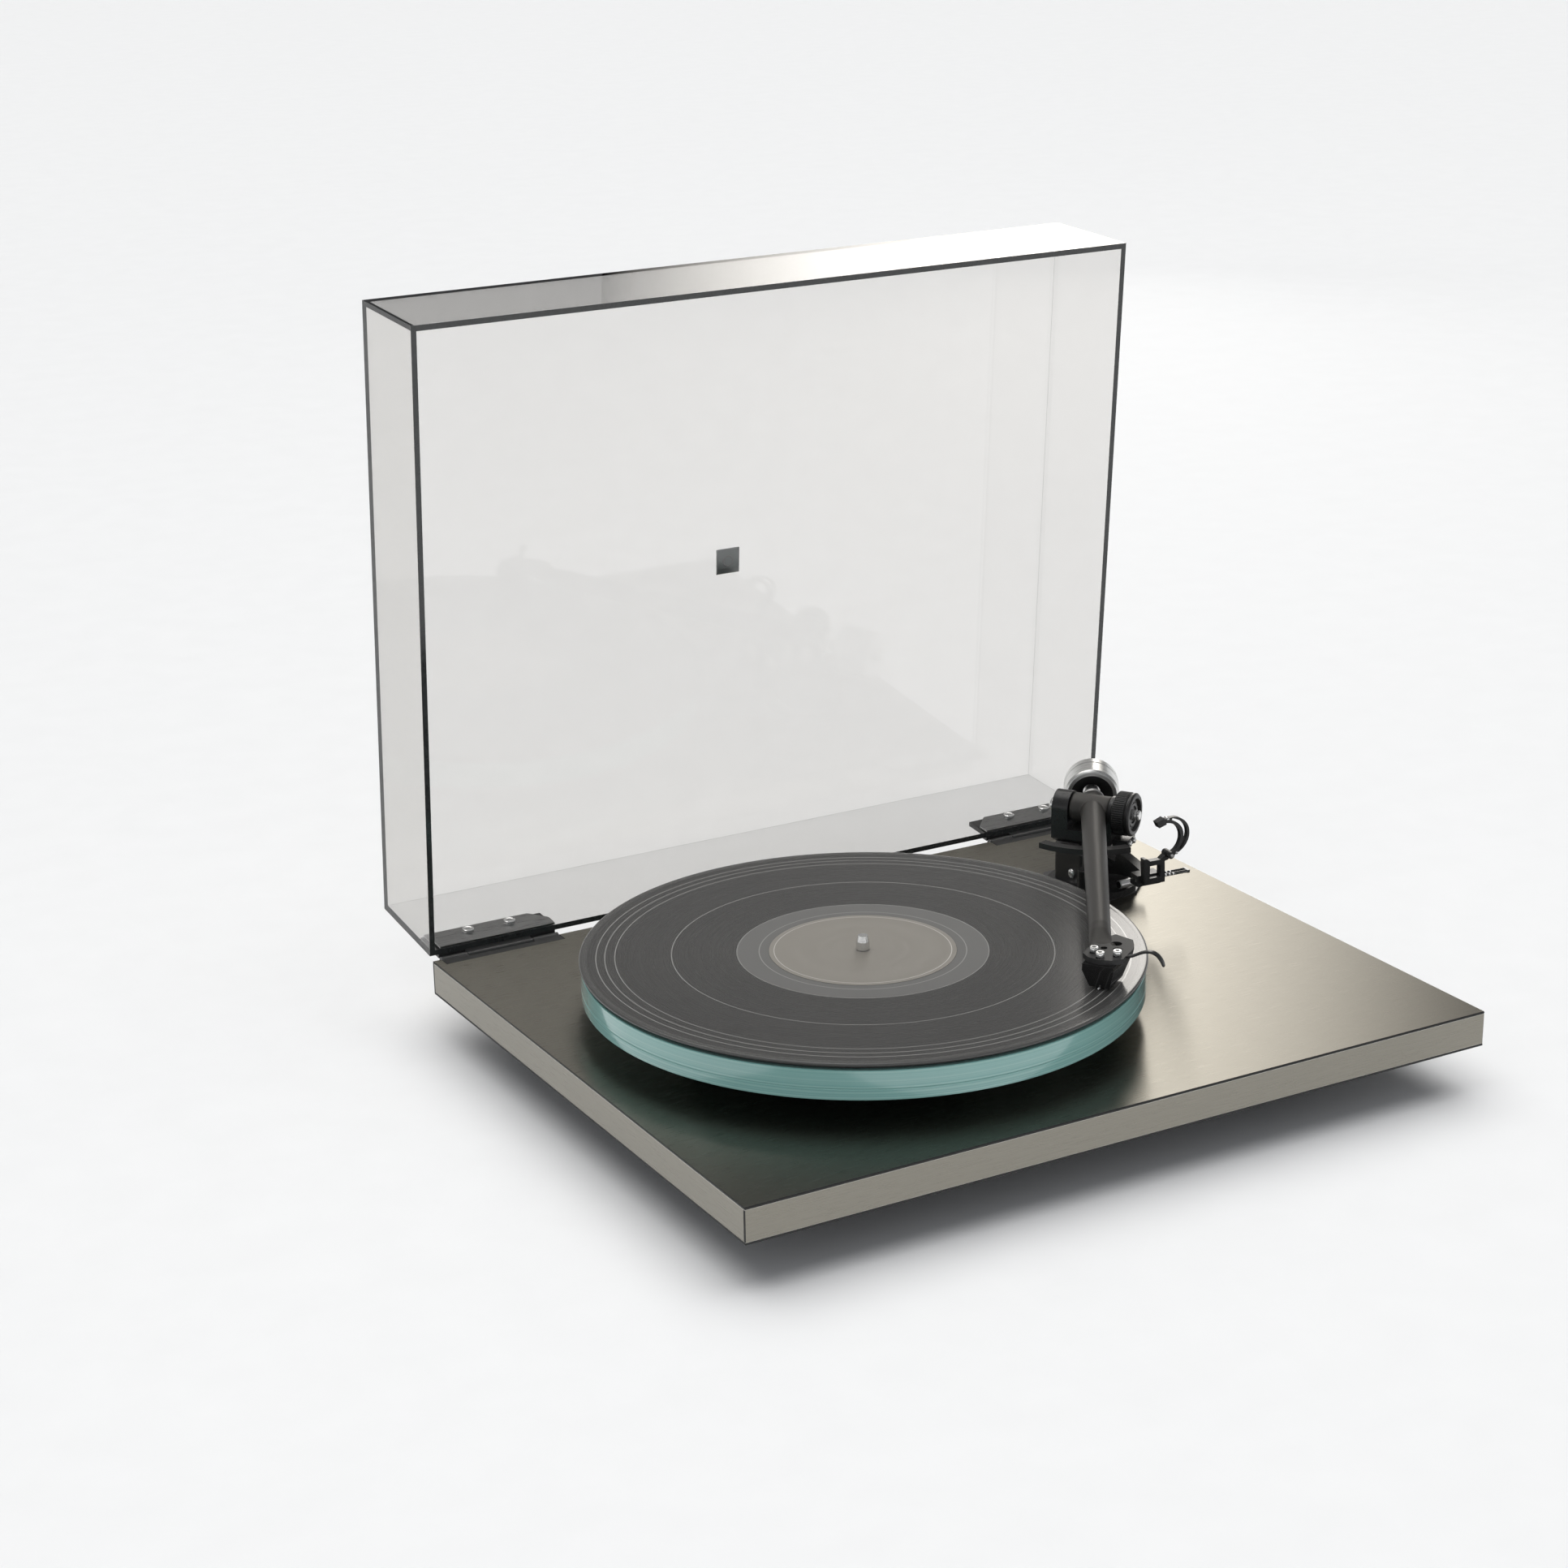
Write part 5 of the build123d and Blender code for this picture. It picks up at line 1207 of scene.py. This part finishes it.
@dataclass
class ArmFoot(Assembly):
    """The arm's foot with the rest, clip, bias slider, cue lever and lift."""

    clip_reach: float = 11.1
    clip_root: float = -74.0
    clip_end: float = 108.0
    slot_from: float = -38.0
    slot_to: float = 72.0
    lever_gap: float = 0.15
    clip_inner: float = 9.4
    clip_middle: float = 110.0

    def build(self) -> None:
        """Builds and dresses the pieces round the foot."""
        self.carry("arm_base", "satin_black", 0.6, "plinth", "arm_black", 3)
        self.carry("arm_rest", "satin_black", 0.45, "plinth", "black_plastic", 3)
        self._clip()
        self.carry("lift_platform", "moulded_black", 0.8, "lift", "black_plastic", 3)
        self._lever()
        self.carry("pivot_pins", "bright_steel", 0.25, "plinth", "bright_steel")
        self.carry("bias_slider", "gun_metal", 0.25, "bias_slider", "black_plastic")
        self._sleeve()
        self._marks()
        ways = [Vector((-1, 0, 0)) if self._lies(points) else UP for _, points in islands("arm_base_screws")]
        screws = ScrewSet("arm_base_screws_made", Head.CROSS, 2.8, 1.7, 1.5, 4.0)
        piece = screws.build(seats("arm_base_screws", ways, 1.7), self.palette["bright_steel"])
        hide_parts("arm_base_screws")
        mount(piece, "plinth")

    def _clip(self) -> None:
        """Builds the crescent clip with its curved slot and its bright rivets."""
        pin = Vector(JOINTS["clip_swing"]["pos_m"])
        axis = Vector(JOINTS["clip_swing"]["axis"])
        points = [v.co - pin for v in frame["nodes"]["arm_clip"].data.vertices]
        heights = [p.dot(axis) / MM for p in points if (p - axis * p.dot(axis)).length < 3 * MM]
        low, high = min(heights), max(heights)
        place = placement(pin, UP.cross(axis), axis)
        turn = math.radians(self.clip_middle)
        cx, cy = self.clip_reach * math.cos(turn), self.clip_reach * math.sin(turn)

        def arc(radius: float, swell: float, first: float, last: float) -> Profile:
            """Gives an arc round the clip's middle that swells halfway along.

            Args:
                radius: Its radius in millimetres.
                swell: How much the radius grows by halfway.
                first: The angle it starts at, in degrees.
                last: The angle it ends at, in degrees.

            Returns:
                The points of the arc.
            """
            found = []
            for step in range(33):
                share = step / 32
                angle = math.radians(first + (last - first) * share)
                r = radius + swell * math.sin(math.pi * share) ** 2
                found.append((cx + r * math.cos(angle), cy + r * math.sin(angle)))
            return found

        root, end = self.clip_root, self.clip_end
        body = arc(self.clip_inner + 2.3, 3.8, root, end) + arc(self.clip_inner, 0.0, root, end)[::-1]
        clip = plate("arm_clip_made", body, low, high, place)
        slot = arc(self.clip_inner + 3.0, 1.6, self.slot_from, self.slot_to)
        slot += arc(self.clip_inner + 1.7, 0.4, self.slot_from, self.slot_to)[::-1]
        carve(clip, plate("slot", slot, low - 1.0, high + 1.0, place))
        boss = plate("boss", round_outline(0.0, 0.0, 2.1), low - 0.05, high + 0.05, place)
        tip = math.radians(end)
        tx, ty = cx + (self.clip_inner + 1.4) * math.cos(tip), cy + (self.clip_inner + 1.4) * math.sin(tip)
        along, out = Vector((-math.sin(tip), math.cos(tip))), Vector((math.cos(tip), math.sin(tip)))
        corners = [(-2.6, -2.2), (2.4, -2.2), (3.0, 1.6), (-2.2, 2.0)]
        block = [(tx + along.x * u + out.x * w, ty + along.y * u + out.y * w) for u, w in corners]
        carve(clip, boss, plate("tip", block, low - 0.7, high + 0.7, place), union=True)
        ease(clip, 0.25, 2)
        paint(clip, self.palette["satin_black"])
        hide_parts("arm_clip")
        mount(clip, "clip")
        rivets = []
        for angle, radius in ((-52.0, 2.4), (86.0, 2.4)):
            way = math.radians(angle)
            x, y = cx + (self.clip_inner + radius) * math.cos(way), cy + (self.clip_inner + radius) * math.sin(way)
            rivets.append(lathe("rivet", [(0.0, low - 0.5), (0.7, low - 0.4), (0.95, low), (0.95, high),
                                          (0.7, high + 0.4),
                                          (0.0, high + 0.5)], place @ Matrix.Translation((x * MM, y * MM,
                                                                                          0.0)), 20, closed=False))
        pins = join("arm_clip_rivets", rivets)
        pins.data.shade_smooth()
        paint(pins, self.palette["bright_steel"])
        mount(pins, "clip")

    @staticmethod
    def _lies(points: list[Vector]) -> bool:
        """Says whether a screw lies along x rather than standing.

        Args:
            points: The screw's points.

        Returns:
            True where it is longer along x.
        """
        spans = [max(p[i] for p in points) - min(p[i] for p in points) for i in (0, 2)]
        return spans[0] > spans[1]

    def _lever(self) -> None:
        """Makes the cue lever, with its inner face a hair clear of the bracket that it swings past."""
        lever = self.carry("cue_lever", "satin_black", 0.35, "cue_lever", "arm_black")
        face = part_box("cue_lever")[0].x + self.lever_gap * MM
        for vert in lever.data.vertices:
            vert.co.x = max(vert.co.x, face)

    def _sleeve(self) -> None:
        """Builds the bright sleeve on the cue lever's handle."""
        low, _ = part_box("cue_lever")
        points = [v.co for v in frame["nodes"]["cue_lever"].data.vertices if v.co.x < low.x + 0.1 * MM]
        seat = facing(sum(points, Vector()) / len(points), Vector((1, 0, 0)))
        profile = [(0.0, 0.3), (2.1, 0.3), (2.5, 0.6), (2.5, 12.2), (2.2, 12.6), (0.0, 12.6)]
        sleeve = lathe("cue_handle_sleeve", profile, seat, 40, closed=False)
        ease(sleeve, 0.0, angle=40.0)
        paint(sleeve, self.palette["satin_alloy"])
        mount(sleeve, "cue_lever")

    def _marks(self) -> None:
        """Paints the white scale rings on the bias rods."""
        way = Vector(JOINTS["bias_slide"]["axis"])
        low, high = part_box("bias_slider")
        points = [v.co.copy() for v in frame["nodes"]["bias_slider"].data.vertices]
        near = min(points, key=lambda p: p.dot(way))
        cross = UP.cross(way)
        starts = sorted({round(p.dot(cross), 4) for p in points if p.dot(way) < near.dot(way) + 0.2 * MM})
        centres = [starts[0] + 0.9 * MM, starts[-1] - 0.9 * MM]
        level = (low.z + high.z) / 2
        pieces = []
        for offset in centres:
            for step in (19.0, 21.5, 24.0):
                spot = cross * offset + way * (near.dot(way) + step * MM) + UP * level
                ring = lathe("ring", [(0.85, 0.0), (0.93, 0.0), (0.93, 0.9), (0.85, 0.9)], facing(spot, way), 24)
                pieces.append(ring)
        marks = join("bias_scale_marks", pieces)
        paint(marks, self.palette["white_mark"])
        mount(marks, "bias_slider")


def join(name: str, pieces: list[bpy.types.Object]) -> bpy.types.Object:
    """Puts several shapes into one piece.

    Args:
        name: The piece's name.
        pieces: The shapes, which are used up.

    Returns:
        The joined piece.
    """
    shape = bmesh.new()
    for piece in pieces:
        shape.from_mesh(piece.data)
        bpy.data.objects.remove(piece)
    return to_object(name, shape)


@dataclass
class ToneArm(Assembly):
    """The yoke, dial, tube, headshell, cartridge, finger lift and counterweight."""

    tube_r: float = 7.2
    tube_end_r: float = 5.9
    tube_end: float = 208.0
    hub_r: float = 8.6
    hub_half: float = 11.8
    voxel: float = 0.5
    head_half: float = 11.0
    dial_r: float = 12.8
    dial_t: float = 11.0
    ribs: int = 60
    weight_r: float = 16.2
    weight_l: float = 24.0

    def build(self) -> None:
        """Builds and dresses the tone arm."""
        self.head = self._head_frame()
        self.carry("yoke", "satin_black", 1.0, "yoke", "arm_black", 3)
        self.carry("pitch_axle", "bright_steel", 0.1, "arm", "bright_steel")
        self._tube()
        self._headshell()
        self._finger()
        self._cartridge()
        self._dial()
        self._weight()
        self._yoke_screws()

    def _head_frame(self) -> Matrix:
        """Finds the headshell's frame from its three screws.

        Returns:
            The frame: origin between the two rear screws on the shell's top, x forward.
        """
        centres = [centre for centre, _ in islands("cartridge_screws")]
        pairs = [(a, b) for i, a in enumerate(centres) for b in centres[i + 1:]]
        first, second = max(pairs, key=lambda pair: (pair[0] - pair[1]).length)
        middle = (first + second) / 2
        _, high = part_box("cartridge_screws")
        middle.z = high.z - 2.6 * MM
        along = self.pitch.to_3x3() @ Vector((1, 0, 0))
        return placement(middle, along)

    def _local(self, place: Matrix, spot: tuple[float, float, float]) -> Vector:
        """Carries a local point in millimetres into the object's frame."""
        return place @ (Vector(spot) * MM)

    def _tube(self) -> None:
        """Builds the tapered tube, which flows into its pivot hub and headshell neck."""
        share = (self.tube_r - self.tube_end_r) / self.tube_end
        rings = [oval(-13.0, 0, 0, 6.4, 6.4)]
        for x in (0.0, 30.0, 60.0, 90.0, 120.0, 150.0, 180.0, 192.0):
            radius = self.tube_r - share * x
            rings.append(oval(x, 0, 0, radius, radius))
        rings += [oval(200.0, 0, -0.3, 6.0, 5.4), oval(206.0, 0.3, -0.4, 6.4, 4.0), oval(211.0, 0.8, 0.0, 7.0, 2.4)]
        rings += [oval(216.0, 1.4, 0.2, 7.0, 1.3)]
        tube = loft("arm_tube_made", rings, self.tube)
        hub_place = facing(self._local(self.pitch, (0, -self.hub_half, 0)), self.pitch.to_3x3() @ Vector((0, 1, 0)))
        wide = 2 * self.hub_half
        profile = [(0.0, 0.0), (self.hub_r - 0.6, 0.0), (self.hub_r, 0.6), (self.hub_r, wide - 0.6),
                   (self.hub_r - 0.6, wide), (0.0, wide)]
        hub = lathe("hub", profile, hub_place, 72, closed=False)
        carve(tube, hub, union=True)
        skin = tube.modifiers.new("skin", "REMESH")
        skin.mode = "VOXEL"
        skin.voxel_size = self.voxel * MM
        flow = tube.modifiers.new("flow", "SMOOTH")
        flow.factor = 0.5
        flow.iterations = 14
        settle(tube)
        tube.data.shade_smooth()
        paint(tube, self.palette["graphite"])
        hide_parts("arm_tube")
        mount(tube, "arm")
        back = facing(self._local(self.tube, (-13.0, 0, 0)), self.tube.to_3x3() @ Vector((-1, 0, 0)))
        collar = [(0.0, 0.0), (7.2, 0.0), (7.4, 0.3), (7.4, 2.4), (7.0, 2.9), (4.0, 3.0), (4.0, 40.2), (3.4, 41.0),
                  (0.0, 41.0)]
        stub = lathe("rear_stub_made", collar, back, 64, closed=False)
        ease(stub, 0.0, angle=35.0)
        paint(stub, self.palette["turned_steel"])
        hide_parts("rear_stub")
        mount(stub, "arm")

    def _headshell(self) -> None:
        """Builds the slotted, drilled headshell plate."""
        outline = [(-27, -4.6), (-20, -8.2), (-13, -self.head_half), (4, -self.head_half), (8.5, -6.5), (10, 0),
                   (8.5, 6.5)]
        outline += [(4, self.head_half), (-10, self.head_half), (-17, 9.2), (-23, 6.4)]
        shell = plate("headshell_plate", outline, -2.8, 0.0, self.head)
        for x, y, radius in ((-14.5, 0.4, 3.0), (-7.5, 3.6, 2.4), (-6.5, -3.4, 1.8)):
            carve(shell, plate("hole", round_outline(x, y, radius), -6.0, 3.0, self.head))
        for x, y in ((0.0, -6.35), (0.0, 6.35), (5.5, -1.0)):
            half = 1.9
            left = [(px - half, py) for px, py in round_outline(x, y, 1.6)[8:25]]
            right = [(px + half, py) for px, py in round_outline(x, y, 1.6)[24:] + round_outline(x, y, 1.6)[:9]]
            carve(shell, plate("slot", left + right, -6.0, 3.0, self.head))
        ease(shell, 0.35, 3, 40.0)
        paint(shell, self.palette["shell_black"])
        mount(shell, "arm")
        up = [UP] * len(islands("cartridge_screws"))
        screws = ScrewSet("cartridge_screws_made", Head.SOCKET, 2.3, 2.6, 1.25, 6.0)
        piece = screws.build(seats("cartridge_screws", up, 2.6), self.palette["bright_steel"])
        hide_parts("cartridge_screws")
        mount(piece, "arm")

    def _finger(self) -> None:
        """Builds the curled ribbon of the finger lift."""
        spots = [(10.0, -0.9), (12.5, -0.4), (15, 0.5), (19, 2.9), (23, 4.1), (26, 3.7), (28.4, 2.0), (30.2, -0.4),
                 (31.2, -3.4)]
        rings = []
        for here, (y, z) in enumerate(spots):
            before, after = spots[max(0, here - 1)], spots[min(len(spots) - 1, here + 1)]
            run = Vector((0.0, after[0] - before[0], after[1] - before[1])).normalized()
            flat = Vector((1.0, 0.0, 0.0))
            tall = run.cross(flat)
            half = 1.7 if here < len(spots) - 1 else 1.2
            turns = [2 * math.pi * step / 16 for step in range(16)]
            ring = [Vector((-1.7, y, z)) + flat * half * _soft(math.cos(t)) + tall * 0.65 * _soft(math.sin(t))
                    for t in turns]
            rings.append(ring)
        finger = loft("finger_lift_made", rings, self.head)
        smooth = finger.modifiers.new("curl", "SUBSURF")
        smooth.levels = smooth.render_levels = 2
        settle(finger)
        finger.data.shade_smooth()
        paint(finger, self.palette["satin_black"])
        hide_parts("finger_lift")
        mount(finger, "arm")

    def _cartridge(self) -> None:
        """Builds the gloss cartridge body; the stylus stays from the frame."""
        self.carry("cartridge", "gloss_black", 0.9, "arm", "cartridge_black", 3)
        self.dress("stylus", "stylus_stone")

    def _dial(self) -> None:
        """Builds the knurled tracking-force dial and its bright nut."""
        start = self._local(self.pitch, (0, 15.3, 0))
        out = self.pitch.to_3x3() @ Vector((0, 1, 0))
        seat = facing(start, out)
        r, t = self.dial_r, self.dial_t
        profile = [(2.0, 0.0), (r - 1.2, 0.0), (r - 0.4, 0.5), (r - 0.4, t - 3.4), (r - 1.0, t - 3.0),
                   (r - 1.0, t - 2.6)]
        profile += [(r - 0.2, t - 2.2), (r - 0.1, t - 1.0), (r - 0.8, t - 0.2), (r - 1.6, t), (r - 3.0, t),
                    (r - 3.6, t - 0.6)]
        profile += [(r - 4.0, t - 1.8), (r - 5.6, t - 1.8), (r - 6.0, t - 1.2), (5.2, t - 1.2), (4.8, t - 2.0),
                    (2.0, t - 2.0)]
        dial = lathe("force_dial_made", profile, seat, 120)
        ease(dial, 0.0, angle=40.0)
        paint(dial, self.palette["knurled_black"])
        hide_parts("force_dial")
        mount(dial, "dial")
        self._knurl(seat)
        nut = [(0.0, t - 1.9), (1.5, t - 1.9), (3.2, t - 1.9), (3.2, t + 0.6), (2.9, t + 1.0), (2.9, t + 2.2),
               (2.4, t + 2.8), (0.0, t + 2.9)]
        bolt = lathe("dial_bolt_made", nut, seat, 40, closed=False)
        ease(bolt, 0.0, angle=35.0)
        paint(bolt, self.palette["bright_steel"])
        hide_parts("dial_bolt")
        mount(bolt, "dial")

    def _knurl(self, seat: Matrix) -> None:
        """Sets the dial's ribs round it with geometry nodes.

        Args:
            seat: The dial's frame.
        """
        shape = bmesh.new()
        piece = to_object("force_dial_ribs", shape)
        tree = Tree("dial_ribs", {"Radius": (self.dial_r - 0.42) * MM, "Count": self.ribs, "Length": 6.6 * MM,
                                  "Rib": 0.42 * MM})
        ring = tree.add("GeometryNodeMeshCircle", Vertices=tree.size("Count"), Radius=tree.size("Radius"))
        rib = tree.add("GeometryNodeMeshCylinder", Vertices=8, Radius=tree.size("Rib"), Depth=tree.size("Length"))
        placed = tree.add("GeometryNodeInstanceOnPoints", Points=ring.outputs[0], Instance=rib.outputs[0])
        lifted = tree.add("GeometryNodeTransform", Geometry=placed.outputs[0])
        middle = seat @ Vector((0, 0, 4.0 * MM))
        lifted.inputs["Translation"].default_value = middle
        lifted.inputs["Rotation"].default_value = seat.to_euler()
        tree.finish(piece, lifted.outputs[0], self.palette["knurled_black"])
        piece.data.shade_smooth()
        piece.data.set_sharp_from_angle(angle=math.radians(50))
        mount(piece, "dial")

    def _weight(self) -> None:
        """Builds the polished counterweight with its conical mouth."""
        drop = (0.0, 0.0, -1.0)
        low = self._local(self.tube, (-25.0, 0, drop[2]))
        back = facing(low, self.tube.to_3x3() @ Vector((-1, 0, 0)))
        r, t = self.weight_r, self.weight_l
        profile = [(5.15, 7.6), (r - 3.6, 0.2), (r - 3.2, 0.0), (r - 1.6, 0.0), (r - 1.3, 0.1), (r - 0.1, 1.4),
                   (r, 1.8)]
        profile += [(r, 15.0), (r - 0.5, 15.3), (r - 0.5, 16.1), (r, 16.4), (r, t - 1.8), (r - 0.1, t - 1.4),
                    (r - 1.6, t), (5.15, t)]
        weight = lathe("counterweight_made", profile, back, 128)
        ease(weight, 0.0, angle=35.0)
        paint(weight, self.palette["turned_steel"], self.palette["knurled_black"])
        for face in weight.data.polygons:
            middle = back.inverted() @ face.center
            if middle.z < 7.5 * MM and math.hypot(middle.x, middle.y) < (r - 3.5) * MM:
                face.material_index = 1
        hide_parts("counterweight")
        mount(weight, "counterweight")

    def _yoke_screws(self) -> None:
        """Builds the yoke's domed screw and its two small ones."""
        side = self.pitch.to_3x3() @ Vector((0, 1, 0))
        centre = self.pitch.to_translation()
        spots = islands("yoke_screws")
        ways = [side if (spot - centre).dot(side) > 0 else -side for spot, _ in spots]
        big = [i for i, way in enumerate(ways) if way.dot(side) < 0]
        seats_all = seats("yoke_screws", ways, 1.6)
        large = ScrewSet("yoke_screw_large", Head.CROSS, 4.2, 4.2, 1.8, 3.0)
        small = ScrewSet("yoke_screws_small", Head.CROSS, 1.9, 1.7, 0.9, 1.0)
        first = large.build([seats_all[i] for i in big], self.palette["bright_steel"])
        second = small.build([seats_all[i] for i in range(len(spots)) if i not in big],
                             self.palette["bright_steel"])
        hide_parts("yoke_screws")
        mount(first, "yoke")
        mount(second, "yoke")


def _soft(value: float) -> float:
    """Squares off a sine, for a ribbon's section."""
    return math.copysign(abs(value) ** 0.5, value)


# --------------------------------------------------------------------- studio


@dataclass
class Studio:
    """The pale floor, the soft lights and the camera."""

    spot: tuple[float, float, float] = (-0.85971, -1.39892, 0.71401)
    turn: tuple[float, float, float] = (1.213, 0.016, -0.515)
    lens: float = 73.59
    rise: float = 0.059
    panel_level: float = 5.2
    floor_half: float = 60.0

    def build(self) -> None:
        """Sets up the studio."""
        self._camera()
        self._floor()
        self._sky()
        self._sun("key_above", (0.05, 0.15, 1.0), 2.62, 80.0, (1.0, 0.992, 0.975))
        self._sun("fill_front", (-0.4, -0.9, 0.7), 1.0, 120.0, (0.93, 0.95, 1.0))
        self._panel()
        self._light("panel_above", (-0.1, 0.2, 1.9), (0.0, 0.0, 0.1), (1.1, 0.8), 4.5, (1.0, 1.0, 1.0))
        self._light("strip_left", (-1.9, 0.2, 0.9), (-0.1, 0.0, 0.1), (0.3, 1.0), 1.2, (0.95, 0.97, 1.0))

    def _camera(self) -> None:
        """Places the camera."""
        camera = bpy.data.cameras.new("camera")
        camera.lens = self.lens
        camera.sensor_width = 36.0
        camera.shift_y = self.rise
        camera.clip_start = 0.05
        seen = bpy.data.objects.new("camera", camera)
        seen.location = self.spot
        seen.rotation_euler = self.turn
        bpy.context.scene.collection.objects.link(seen)
        bpy.context.scene.camera = seen

    def _floor(self) -> None:
        """Lays the pale floor."""
        shape = bmesh.new()
        half = self.floor_half
        corners = [shape.verts.new((x, y, 0.0)) for x, y in ((-half, -half), (half, -half), (half, half),
                                                             (-half, half))]
        shape.faces.new(corners)
        floor = to_object("floor", shape)
        pale = Finish("pale_floor", (0.80, 0.805, 0.81), (0.815, 0.82, 0.825), rough=0.85, rough_range=0.05,
                      fine=30.0, relief=0.0)
        paint(floor, pale.material())

    def _sky(self) -> None:
        """Fills the room with soft light."""
        world = bpy.data.worlds.new("room")
        world.use_nodes = True
        back = world.node_tree.nodes["Background"]
        nodes, links = world.node_tree.nodes, world.node_tree.links
        way = nodes.new("ShaderNodeTexCoord")
        parts = nodes.new("ShaderNodeSeparateXYZ")
        links.new(way.outputs["Generated"], parts.inputs[0])
        ramp = nodes.new("ShaderNodeValToRGB")
        ramp.color_ramp.elements[0].position = 0.1
        ramp.color_ramp.elements[0].color = (0.885, 0.89, 0.895, 1.0)
        ramp.color_ramp.elements[1].position = 0.2
        ramp.color_ramp.elements[1].color = (0.125, 0.127, 0.13, 1.0)
        links.new(parts.outputs["Z"], ramp.inputs["Fac"])
        links.new(ramp.outputs["Color"], back.inputs["Color"])
        back.inputs["Strength"].default_value = 1.0
        bpy.context.scene.world = world
        bpy.context.scene.view_settings.view_transform = "Standard"

    def _sun(self, name: str, way: tuple[float, float, float], strength: float, width: float,
             colour: Colour) -> None:
        """Hangs a broad soft light that reaches everything alike.

        Args:
            name: The light's name.
            way: The direction that it comes from.
            strength: Its strength in watts a square metre.
            width: How broad it looks, in degrees.
            colour: Its colour.
        """
        sun = bpy.data.lights.new(name, "SUN")
        sun.energy = strength
        sun.angle = math.radians(width)
        sun.color = colour
        hung = bpy.data.objects.new(name, sun)
        hung.rotation_euler = Vector(way).to_track_quat("Z", "Y").to_euler()
        hung.visible_glossy = False
        bpy.context.scene.collection.objects.link(hung)

    def _panel(self) -> None:
        """Hangs the tall soft-edged panel behind, which shows in the metal, the vinyl and the lid."""
        spot, aim = Vector((1.31, 1.72, 0.86)), Vector((0.17, -0.05, 0.1))
        place = placement(spot, UP.cross(aim - spot), aim - spot)
        half_w, half_h = 0.56, 1.0
        shape = bmesh.new()
        corners = [(-half_w, -half_h), (half_w, -half_h), (half_w, half_h), (-half_w, half_h)]
        shape.faces.new([shape.verts.new((x, y, 0.0)) for x, y in corners])
        bmesh.ops.transform(shape, matrix=place, verts=shape.verts)
        mesh = bpy.data.meshes.new("panel_behind")
        shape.to_mesh(mesh)
        shape.free()
        panel = bpy.data.objects.new("panel_behind", mesh)
        bpy.context.scene.collection.objects.link(panel)
        glow = bpy.data.materials.new("panel_glow")
        glow.use_nodes = True
        nodes, links = glow.node_tree.nodes, glow.node_tree.links
        nodes.remove(nodes["Principled BSDF"])
        where = nodes.new("ShaderNodeTexCoord")
        moved = nodes.new("ShaderNodeMapping")
        moved.vector_type = "TEXTURE"
        moved.inputs["Location"].default_value = spot
        moved.inputs["Rotation"].default_value = place.to_euler()
        moved.inputs["Scale"].default_value = (half_w, half_h, 1.0)
        links.new(where.outputs["Object"], moved.inputs["Vector"])
        fade = nodes.new("ShaderNodeTexGradient")
        fade.gradient_type = "SPHERICAL"
        links.new(moved.outputs["Vector"], fade.inputs["Vector"])
        level = nodes.new("ShaderNodeMath")
        level.operation = "MULTIPLY"
        level.inputs[1].default_value = self.panel_level
        links.new(fade.outputs["Fac"], level.inputs[0])
        light = nodes.new("ShaderNodeEmission")
        light.inputs["Color"].default_value = (1.0, 0.965, 0.91, 1.0)
        links.new(level.outputs["Value"], light.inputs["Strength"])
        links.new(light.outputs["Emission"], nodes["Material Output"].inputs["Surface"])
        paint(panel, glow)
        panel.visible_diffuse = False
        panel.visible_camera = False
        panel.visible_shadow = False
        panel.visible_transmission = False

    def _light(
        self,
        name: str,
        spot: tuple[float, float, float],
        aim: tuple[float, float, float],
        size: tuple[float, float],
        power: float,
        colour: Colour,
    ) -> None:
        """Hangs a soft panel light.

        Args:
            name: The light's name.
            spot: Where it hangs.
            aim: The point that it faces.
            size: Its width and height.
            power: Its power in watts.
            colour: Its colour.
        """
        light = bpy.data.lights.new(name, "AREA")
        light.shape = "RECTANGLE"
        light.size, light.size_y = size
        light.energy = power
        light.color = colour
        hung = bpy.data.objects.new(name, light)
        hung.location = spot
        hung.rotation_euler = (Vector(spot) - Vector(aim)).to_track_quat("Z", "Y").to_euler()
        hung.visible_diffuse = False
        bpy.context.scene.collection.objects.link(hung)


def main() -> None:
    """Builds the studio and every sub-assembly."""
    logging.basicConfig(level=logging.INFO, format="%(name)s: %(message)s")
    pivot = Vector(JOINTS["arm_yaw"]["pos_m"])
    tube = placement(pivot, Vector(JOINTS["weight_slide"]["axis"]))
    side = Vector(JOINTS["dial_turn"]["axis"])
    pitch = placement(pivot, side.cross(UP))
    platter = placement(Vector(JOINTS["platter_spin"]["pos_m"]), Vector((1, 0, 0)))
    palette = Palette(tube, platter)
    Studio().build()
    for kind in (Plinth, Hinges, Lid, PlatterDrive, Record, ArmFoot, ToneArm):
        LOG.info("building %s", kind.__name__)
        kind(palette, tube, pitch, platter).build()
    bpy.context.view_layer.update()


if __name__ == "__main__":
    main()
